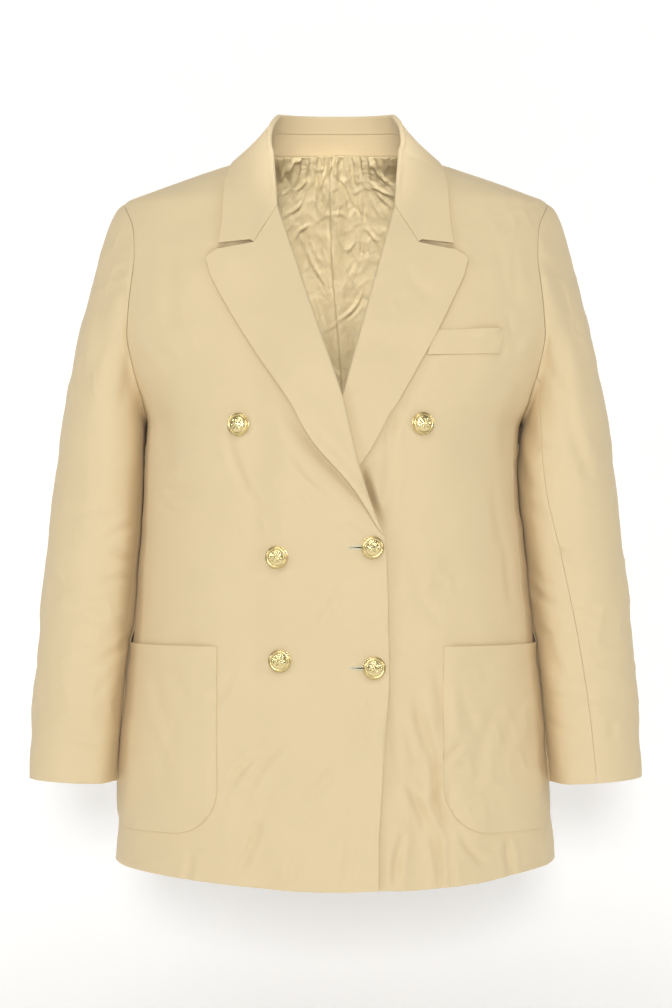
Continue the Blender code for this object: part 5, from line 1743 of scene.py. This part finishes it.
def studio_white(name):
    """The pale sweep's paint, faintly luminous, and clear when it is seen from behind."""
    finish = Finish(name)
    soft = finish.noise(finish.coordinates(), 2.0, 1.0)
    colour = finish.blend(soft, *(tone(WHITE, share) for share in (0.93, 0.95)))
    sockets = {
        "Base Color": colour,
        "Roughness": 0.9,
        "Specular IOR Level": 0.1,
        "Emission Color": tone(WHITE, 1.0),
        "Emission Strength": SWEEP_GLOW,
    }
    paint = finish.add("ShaderNodeBsdfPrincipled", None, sockets).outputs[0]
    clear = finish.add("ShaderNodeBsdfTransparent").outputs[0]
    behind = finish.add("ShaderNodeNewGeometry").outputs["Backfacing"]
    seen = finish.add("ShaderNodeMixShader", None, {0: behind, 1: paint, 2: clear}).outputs[0]
    finish.add("ShaderNodeOutputMaterial", None, {"Surface": seen})
    return finish.material


# ---------------------------------------------------------------- operators


def coat_piece(node, points, through, thickness, free=None, held="hung", rests_on=()):
    """A sheet of the coat's cloth that stands for a node."""
    cloth = finish_named("coat_twill", twill_cloth)
    thing, cut = shell(f"cloth_{node}", points, through, thickness, cloth, free)
    return sewn(thing, cut, held, list(rests_on), "coat_cloth", node)


class BLAZER_OT_fronts(bpy.types.Operator):
    """Makes the two fronts, the right one over the left"""

    bl_idname = "blazer.fronts"
    bl_label = "Fronts"

    def execute(self, context):
        free = {"bottom": 1.0, "left": 1.0}
        for side, word in SIDES:
            under = ["front_left"] if side == RIGHT else []
            sheet = body_panel(side, "front", FRONT_COLUMNS)
            coat_piece(f"front_{word}", *sheet, CLOTH, free, rests_on=under)
        return {"FINISHED"}


class BLAZER_OT_backs(bpy.types.Operator):
    """Makes the two halves of the back and the panels under the arms"""

    bl_idname = "blazer.backs"
    bl_label = "Back and side panels"

    def execute(self, context):
        free = {"bottom": 1.0}
        for side, word in SIDES:
            coat_piece(f"back_{word}", *body_panel(side, "back", BACK_COLUMNS), CLOTH, free)
            coat_piece(f"side_panel_{word}", *side_panel(side), CLOTH, free)
        return {"FINISHED"}


class BLAZER_OT_sleeves(bpy.types.Operator):
    """Makes the two-piece sleeves"""

    bl_idname = "blazer.sleeves"
    bl_label = "Sleeves"

    def execute(self, context):
        for side, word in SIDES:
            front = SLEEVE_FRONT_STEP[side]
            steps = {
                "upper": (SIDE_BACK_STEP - ARMHOLE_STEPS, front, UPPER_COLUMNS),
                "under": (front, SIDE_BACK_STEP, UNDER_COLUMNS),
            }
            for part, between in steps.items():
                sheet = sleeve_part(side, *between)
                coat_piece(f"{part}_sleeve_{word}", *sheet, SLEEVE_CLOTH, {"top": 1.0})
        return {"FINISHED"}


class BLAZER_OT_lapels(bpy.types.Operator):
    """Makes the peaked lapels, turned out over the fronts"""

    bl_idname = "blazer.lapels"
    bl_label = "Lapels"

    def execute(self, context):
        for side, word in SIDES:
            sheet = lapel(side)
            past_notch = ease(np.arange(sheet[0].shape[1]), *PAST_NOTCH)
            free = {"bottom": 1.0, "right": 1.0, "top": past_notch}
            coat_piece(f"lapel_{word}", *sheet, free, "folded", [f"front_{word}"])
        return {"FINISHED"}


class BLAZER_OT_collar(bpy.types.Operator):
    """Makes the collar's leaf and its stand"""

    bl_idname = "blazer.collar"
    bl_label = "Collar"

    def execute(self, context):
        leaf, stand = collar_and_stand()
        past_notch = ease(np.arange(leaf[0].shape[1]) - INSIDE_STEPS, *PAST_NOTCH)
        free = {"bottom": past_notch, "top": past_notch, "right": 1.0}
        coat_piece("collar", *leaf, LAPEL_CLOTH, free, "folded", ["collar_stand"])
        coat_piece("collar_stand", *stand, LAPEL_CLOTH)
        return {"FINISHED"}


class BLAZER_OT_pockets(bpy.types.Operator):
    """Makes the patch pockets and the breast pocket's welt"""

    bl_idname = "blazer.pockets"
    bl_label = "Pockets"

    def execute(self, context):
        for side, word in SIDES:
            under = [f"front_{word}", f"side_panel_{word}"]
            sheet = patch_pocket(side)
            coat_piece(f"patch_pocket_{word}", *sheet, POCKET_SHELL, FREE_ROUND, rests_on=under)
        coat_piece("breast_welt", *breast_welt(), WELT_SHELL, FREE_ROUND, rests_on=["front_left"])
        return {"FINISHED"}


class BLAZER_OT_lining(bpy.types.Operator):
    """Makes the gathered satin lining inside the back"""

    bl_idname = "blazer.lining"
    bl_label = "Lining"

    def execute(self, context):
        cloth = finish_named("crumpled_satin", satin)
        for side, word in SIDES:
            node = f"back_lining_{word}"
            thing, cut = shell(f"satin_{node}", *back_lining(side), LINING_CLOTH, cloth)
            sewn(thing, cut, "gathered", [f"back_{word}"], "lining_satin", node)
        return {"FINISHED"}


BUTTON_RADIUS = 0.0110
BUTTON_HEIGHT = 0.0068
# The turned edge, the under side and the shank: share of the radius, and height.
BUTTON_UNDER = (
    (1.02, 0.0021), (1.00, 0.0014), (0.92, 0.0011), (0.60, 0.0009), (0.30, 0.0008), (0.22, 0.0001)
)
ROPE_TURNS = 26
PETALS = 8
PETALS_AT, BEADS_AT, GROOVE_AT, ROPE_AT = 0.36, 0.62, 0.735, 0.87  # shares of the radius


def button_face(r, turn):
    """Height of the button's face at radius r (0 to 1) and turn, and how deep its hollows are,
    which sets their painted shade.

    A dome, h(1 - 0.5 r^2), falls into a groove at 0.735 and meets a rope whose strands are a sine
    of the turn plus the radius. The dome bears a rosette: petals are a cosine of eight times the
    turn, round a boss, inside a ring of beads.
    """
    dome = BUTTON_HEIGHT * (1.0 - 0.50 * r**2)
    groove = bell(r - GROOVE_AT, 0.045)
    rim = bell(r - ROPE_AT, 0.085)
    strands = np.sin(ROPE_TURNS * turn + 9.0 * (r - ROPE_AT) / 0.1)
    petals = np.cos(PETALS * turn) * bell(r - PETALS_AT, 0.12)
    between = bell(r - PETALS_AT, 0.14)
    boss = bell(r, 0.13)
    beads = np.cos(3 * PETALS * turn) * bell(r - BEADS_AT, 0.045)
    height = (
        dome
        - 0.0005 * groove
        + rim * (0.0005 + 0.00028 * strands)
        + 0.00030 * petals
        + 0.00045 * boss
        + 0.00016 * beads
    )
    low_strand, low_petal = 0.5 - 0.5 * strands, 0.5 - 0.5 * petals
    # painted shade: darker in the groove, between the rope's strands and between the petals
    hollow = 0.75 * groove + 0.45 * rim * low_strand + 0.35 * between * low_petal
    return height - 0.0016 * ease(r, 0.93, 1.0), hollow


def button_mesh(name, finish):
    """The button about the Z axis: its face, the turned under side and the shank, pole to pole."""
    radii = np.concatenate([np.linspace(0.02, 0.9, 30), np.linspace(0.92, 1.0, 5)])
    turn = np.linspace(0, 2 * math.pi, 88, endpoint=False)
    r, angle = grid(radii, turn)
    height, hollow = button_face(r, angle)
    under = np.array(BUTTON_UNDER)
    r = np.concatenate([r, np.repeat(under[:, :1], len(turn), axis=1)])
    angle = np.concatenate([angle, np.repeat(turn[None], len(under), axis=0)])
    height = np.concatenate([height, np.repeat(under[:, 1:], len(turn), axis=1)])
    # the under side and the shank get painted shade as well
    hollow = np.concatenate([hollow, np.full((len(under), len(turn)), 0.4)])
    ring = np.stack(
        [BUTTON_RADIUS * r * np.cos(angle), BUTTON_RADIUS * r * np.sin(angle), height], axis=-1
    )
    rows, columns = r.shape
    index = np.arange(rows * columns).reshape(rows, columns)
    beside = np.roll(index, -1, axis=1)
    quads = np.stack([index[:-1], index[1:], beside[1:], beside[:-1]], axis=-1).reshape(-1, 4)
    top, bottom = rows * columns, rows * columns + 1
    fans = [(top, a, b) for a, b in zip(index[0], beside[0])]
    fans += [(bottom, b, a) for a, b in zip(index[-1], beside[-1])]
    poles = [(0.0, 0.0, float(height[0].mean())), (0.0, 0.0, 0.0001)]
    mesh = bpy.data.meshes.new(name)
    mesh.from_pydata(ring.reshape(-1, 3).tolist() + poles, [], quads.tolist() + fans)
    # the gilt darkens by this attribute, a painted shade
    shade = mesh.attributes.new("hollow", "FLOAT", "POINT")
    shade.data.foreach_set("value", np.append(hollow.ravel(), [0, 0.4]).astype(np.float32))
    mesh.materials.append(finish)
    mesh.shade_smooth()
    return mesh


class BLAZER_OT_buttons(bpy.types.Operator):
    """Makes the six domed buttons and the two stitched buttonholes"""

    bl_idname = "blazer.buttons"
    bl_label = "Buttons and buttonholes"

    def execute(self, context):
        metal = finish_named("button_gilt", gold)
        for row in BUTTONS:
            made = dict(zip(BUTTON_COLUMNS, row))
            node, side = made["node"], made["side"]
            across, height = np.array(made["across"]), np.array(made["height"])
            at, through = lifted(angle_at(across, height), height, side, SEAM)
            mesh = button_mesh(f"gilt_{node}", metal)
            turn = Vector(through).to_track_quat("Z", "Y").to_matrix().to_4x4()
            spin = turn @ turn.Rotation(made["turned"], 4, "Z")
            mesh.transform(spin)
            mesh.transform(spin.Translation(Vector(at)))
            thing = bpy.data.objects.new(f"gilt_{node}", mesh)
            context.scene.collection.objects.link(thing)
            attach(thing, "root")
            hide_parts(node)
            if node.endswith("_left") and "top" not in node:
                buttonhole(node.replace("button", "buttonhole"), across, height, side)
        return {"FINISHED"}


HOLE_LENGTH = 0.0285
HOLE_END = 0.0055  # how far it reaches past the button's centre, towards the front's edge
HOLE_HALF_WIDTH = 0.00150
STITCH_RADIUS = 0.00080
STITCH_LIFT = 0.00032
SLIT_HALF_WIDTH = 0.00105
SLIT_THICK = 0.0001


def hole_on_cloth(along, off, across, height, side, out):
    """Points on the front at distances along a buttonhole from its button, and square to it."""
    angle = angle_at(across + along + 0 * off, height + off)
    return lifted(angle, height + off + 0 * along, side, out)


def buttonhole(name, across, height, side):
    """A ring of stitches, a flat ellipse whose section is one too, and inside it a tapered dark
    sheet, painted shade for the slit.
    """
    stitch = finish_named("buttonhole_thread", thread)
    # painted shade: a dark sheet where the slit is in shadow
    dark = finish_named("buttonhole_slit", slit_shade)
    section_turn, round_turn = grid(
        *(np.linspace(0, 2 * math.pi, steps, endpoint=False) for steps in (12, 96))
    )
    half = HOLE_LENGTH / 2
    middle = half - HOLE_END
    bulge = STITCH_RADIUS * np.cos(section_turn)
    along = middle + (half + bulge) * np.cos(round_turn)
    off = (HOLE_HALF_WIDTH + bulge) * np.sin(round_turn)
    out = 0.00005 + STITCH_LIFT * (1 + np.sin(section_turn))
    points, _ = hole_on_cloth(along, off, across, height, side, out)
    index = np.arange(along.size).reshape(along.shape)
    quads = cells(np.pad(index, ((0, 1), (0, 1)), mode="wrap"))
    uv = np.stack([round_turn * half, section_turn * 0.0005], axis=-1).reshape(-1, 2)
    ring = mesh_from(f"thread_{name}", points.reshape(-1, 3), quads, uv, stitch)
    face_out(ring)

    # the slit: a dark sheet of painted shade, just over the cloth
    length, width = grid(np.linspace(-1, 1, 25), np.linspace(-1, 1, 7))
    taper = np.clip((0.85 - length) / 0.7, 0.06, 1)
    shape = np.sqrt(np.clip(1 - length**2, 0, 1)) * taper * SLIT_HALF_WIDTH + 0.00004
    along, off = middle + length * (half - 0.0004), width * shape
    points, through = hole_on_cloth(along, off, across, height, side, 0.00012 + 0 * length)
    slit, _ = shell(f"slit_{name}", points, through, SLIT_THICK, dark, FREE_ROUND)
    for thing in (ring, slit):
        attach(thing, "root")


def face_out(thing):
    """Turns a closed mesh's faces outwards, by the sign of its volume."""
    mesh = thing.data
    mesh.calc_loop_triangles()
    corners = np.array([[mesh.vertices[i].co for i in t.vertices] for t in mesh.loop_triangles])
    centre = corners.mean(axis=(0, 1))
    a, b, c = (corners[:, k] - centre for k in range(3))
    if (np.cross(a, b) * c).sum() < 0:
        mesh.flip_normals()


CAMERA_AT = (0.0, -3.0, -0.356)
CAMERA_AIM = (0.0, 0.0, -0.356)
LENS = 104.0
FLOOR = -1.080
SWEEP_BACK = 0.620
SWEEP_BEND = 0.250
SWEEP_TOP = 1.600
SWEEP_HALF_WIDTH = 3.2
SWEEP_FRONT = -3.6
SWEEP_GLOW = 0.14
AMBIENT = 0.18
LAMP_COLUMNS = ("name", "x", "y", "z", "size", "power")
LAMPS = (
    ("front", -0.06, -6.0, 0.42, 0.60, 107.0),
    ("left", -2.40, -1.7, 0.50, 1.00, 14.0),
    ("right", 2.40, -1.7, 0.30, 1.00, 13.0),
    ("top", -0.20, -2.2, 2.00, 1.60, 25.0),
)
NECK_LAMP_AT = (-0.01, -1.20, 0.75)
NECK_LAMP_AIM = (0.0, 0.08, -0.066)
NECK_LAMP_CONE = 8.2  # degrees
NECK_LAMP_POWER = 64.0


def aimed(name, data, at, aim=CAMERA_AIM):
    """An object at a place, turned towards another."""
    thing = bpy.data.objects.new(name, data)
    thing.location = at
    thing.rotation_mode = "QUATERNION"
    thing.rotation_quaternion = (Vector(aim) - Vector(at)).to_track_quat("-Z", "Y")
    bpy.context.scene.collection.objects.link(thing)
    return thing


class BLAZER_OT_stage(bpy.types.Operator):
    """Makes the pale floor that sweeps up behind, the soft lights and the camera"""

    bl_idname = "blazer.stage"
    bl_label = "Stage"

    def execute(self, context):
        scene = context.scene
        turn = np.linspace(0, math.pi / 2, 17)
        bend_y = SWEEP_BACK - SWEEP_BEND + SWEEP_BEND * np.sin(turn)
        bend_z = FLOOR + SWEEP_BEND - SWEEP_BEND * np.cos(turn)
        line_y = np.concatenate([[SWEEP_FRONT], bend_y, [SWEEP_BACK]])
        line_z = np.concatenate([[FLOOR], bend_z, [SWEEP_TOP]])
        index_of, x = grid(np.arange(len(line_y)), np.linspace(-1, 1, 5) * SWEEP_HALF_WIDTH)
        step = index_of.astype(int)
        points = np.stack([x, line_y[step], line_z[step]], axis=-1).reshape(-1, 3)
        index = np.arange(len(points)).reshape(x.shape)
        paint = finish_named("studio_white", studio_white)
        floor = mesh_from("floor", points, cells(index), points[:, :2], paint)

        world = bpy.data.worlds.new("studio")
        world.use_nodes = True
        back = world.node_tree.nodes["Background"]
        back.inputs["Color"].default_value = tone(WHITE, 1.0)
        back.inputs["Strength"].default_value = AMBIENT
        scene.world = world
        scene.view_settings.view_transform = "Standard"

        for row in LAMPS:
            made = dict(zip(LAMP_COLUMNS, row))
            lamp = bpy.data.lights.new(made["name"], "AREA")
            lamp.size = made["size"]
            lamp.energy = made["power"]
            aimed(made["name"], lamp, (made["x"], made["y"], made["z"]))

        spot = bpy.data.lights.new("neck", "SPOT")
        spot.energy = NECK_LAMP_POWER
        spot.spot_size = math.radians(NECK_LAMP_CONE)
        spot.spot_blend = 1.0
        spot.shadow_soft_size = 0.03
        aimed("neck", spot, NECK_LAMP_AT, NECK_LAMP_AIM)

        lens = bpy.data.cameras.new("camera")
        lens.lens = LENS
        scene.camera = aimed("camera", lens, CAMERA_AT)
        return {"FINISHED"}


OPERATORS = (
    BLAZER_OT_fronts,
    BLAZER_OT_backs,
    BLAZER_OT_sleeves,
    BLAZER_OT_lapels,
    BLAZER_OT_collar,
    BLAZER_OT_pockets,
    BLAZER_OT_lining,
    BLAZER_OT_buttons,
    BLAZER_OT_stage,
)


class BLAZER_PT_pieces(bpy.types.Panel):
    """Lists the coat's pieces and what may be changed"""

    bl_idname = "BLAZER_PT_pieces"
    bl_label = "Blazer"
    bl_space_type = "VIEW_3D"
    bl_region_type = "UI"
    bl_category = "Blazer"

    def draw(self, context):
        for group in (context.scene.blazer_sizes, context.scene.blazer_colours):
            for name in group.__annotations__:
                self.layout.prop(group, name)
        for operator in OPERATORS:
            self.layout.operator(operator.bl_idname)


CLASSES = (BlazerSizes, BlazerColours, *OPERATORS, BLAZER_PT_pieces)


def register():
    """Registers the classes and gives the scene its sizes and colours."""
    for kind in CLASSES:
        bpy.utils.register_class(kind)
    bpy.types.Scene.blazer_sizes = PointerProperty(type=BlazerSizes)
    bpy.types.Scene.blazer_colours = PointerProperty(type=BlazerColours)


def unregister():
    """Takes back what register did."""
    del bpy.types.Scene.blazer_sizes, bpy.types.Scene.blazer_colours
    for kind in reversed(CLASSES):
        bpy.utils.unregister_class(kind)


def main():
    """Makes every piece."""
    register()
    bpy.ops.blazer.fronts()
    bpy.ops.blazer.backs()
    bpy.ops.blazer.sleeves()
    bpy.ops.blazer.lapels()
    bpy.ops.blazer.collar()
    bpy.ops.blazer.pockets()
    bpy.ops.blazer.lining()
    bpy.ops.blazer.buttons()
    bpy.ops.blazer.stage()


if __name__ == "__main__":
    main()
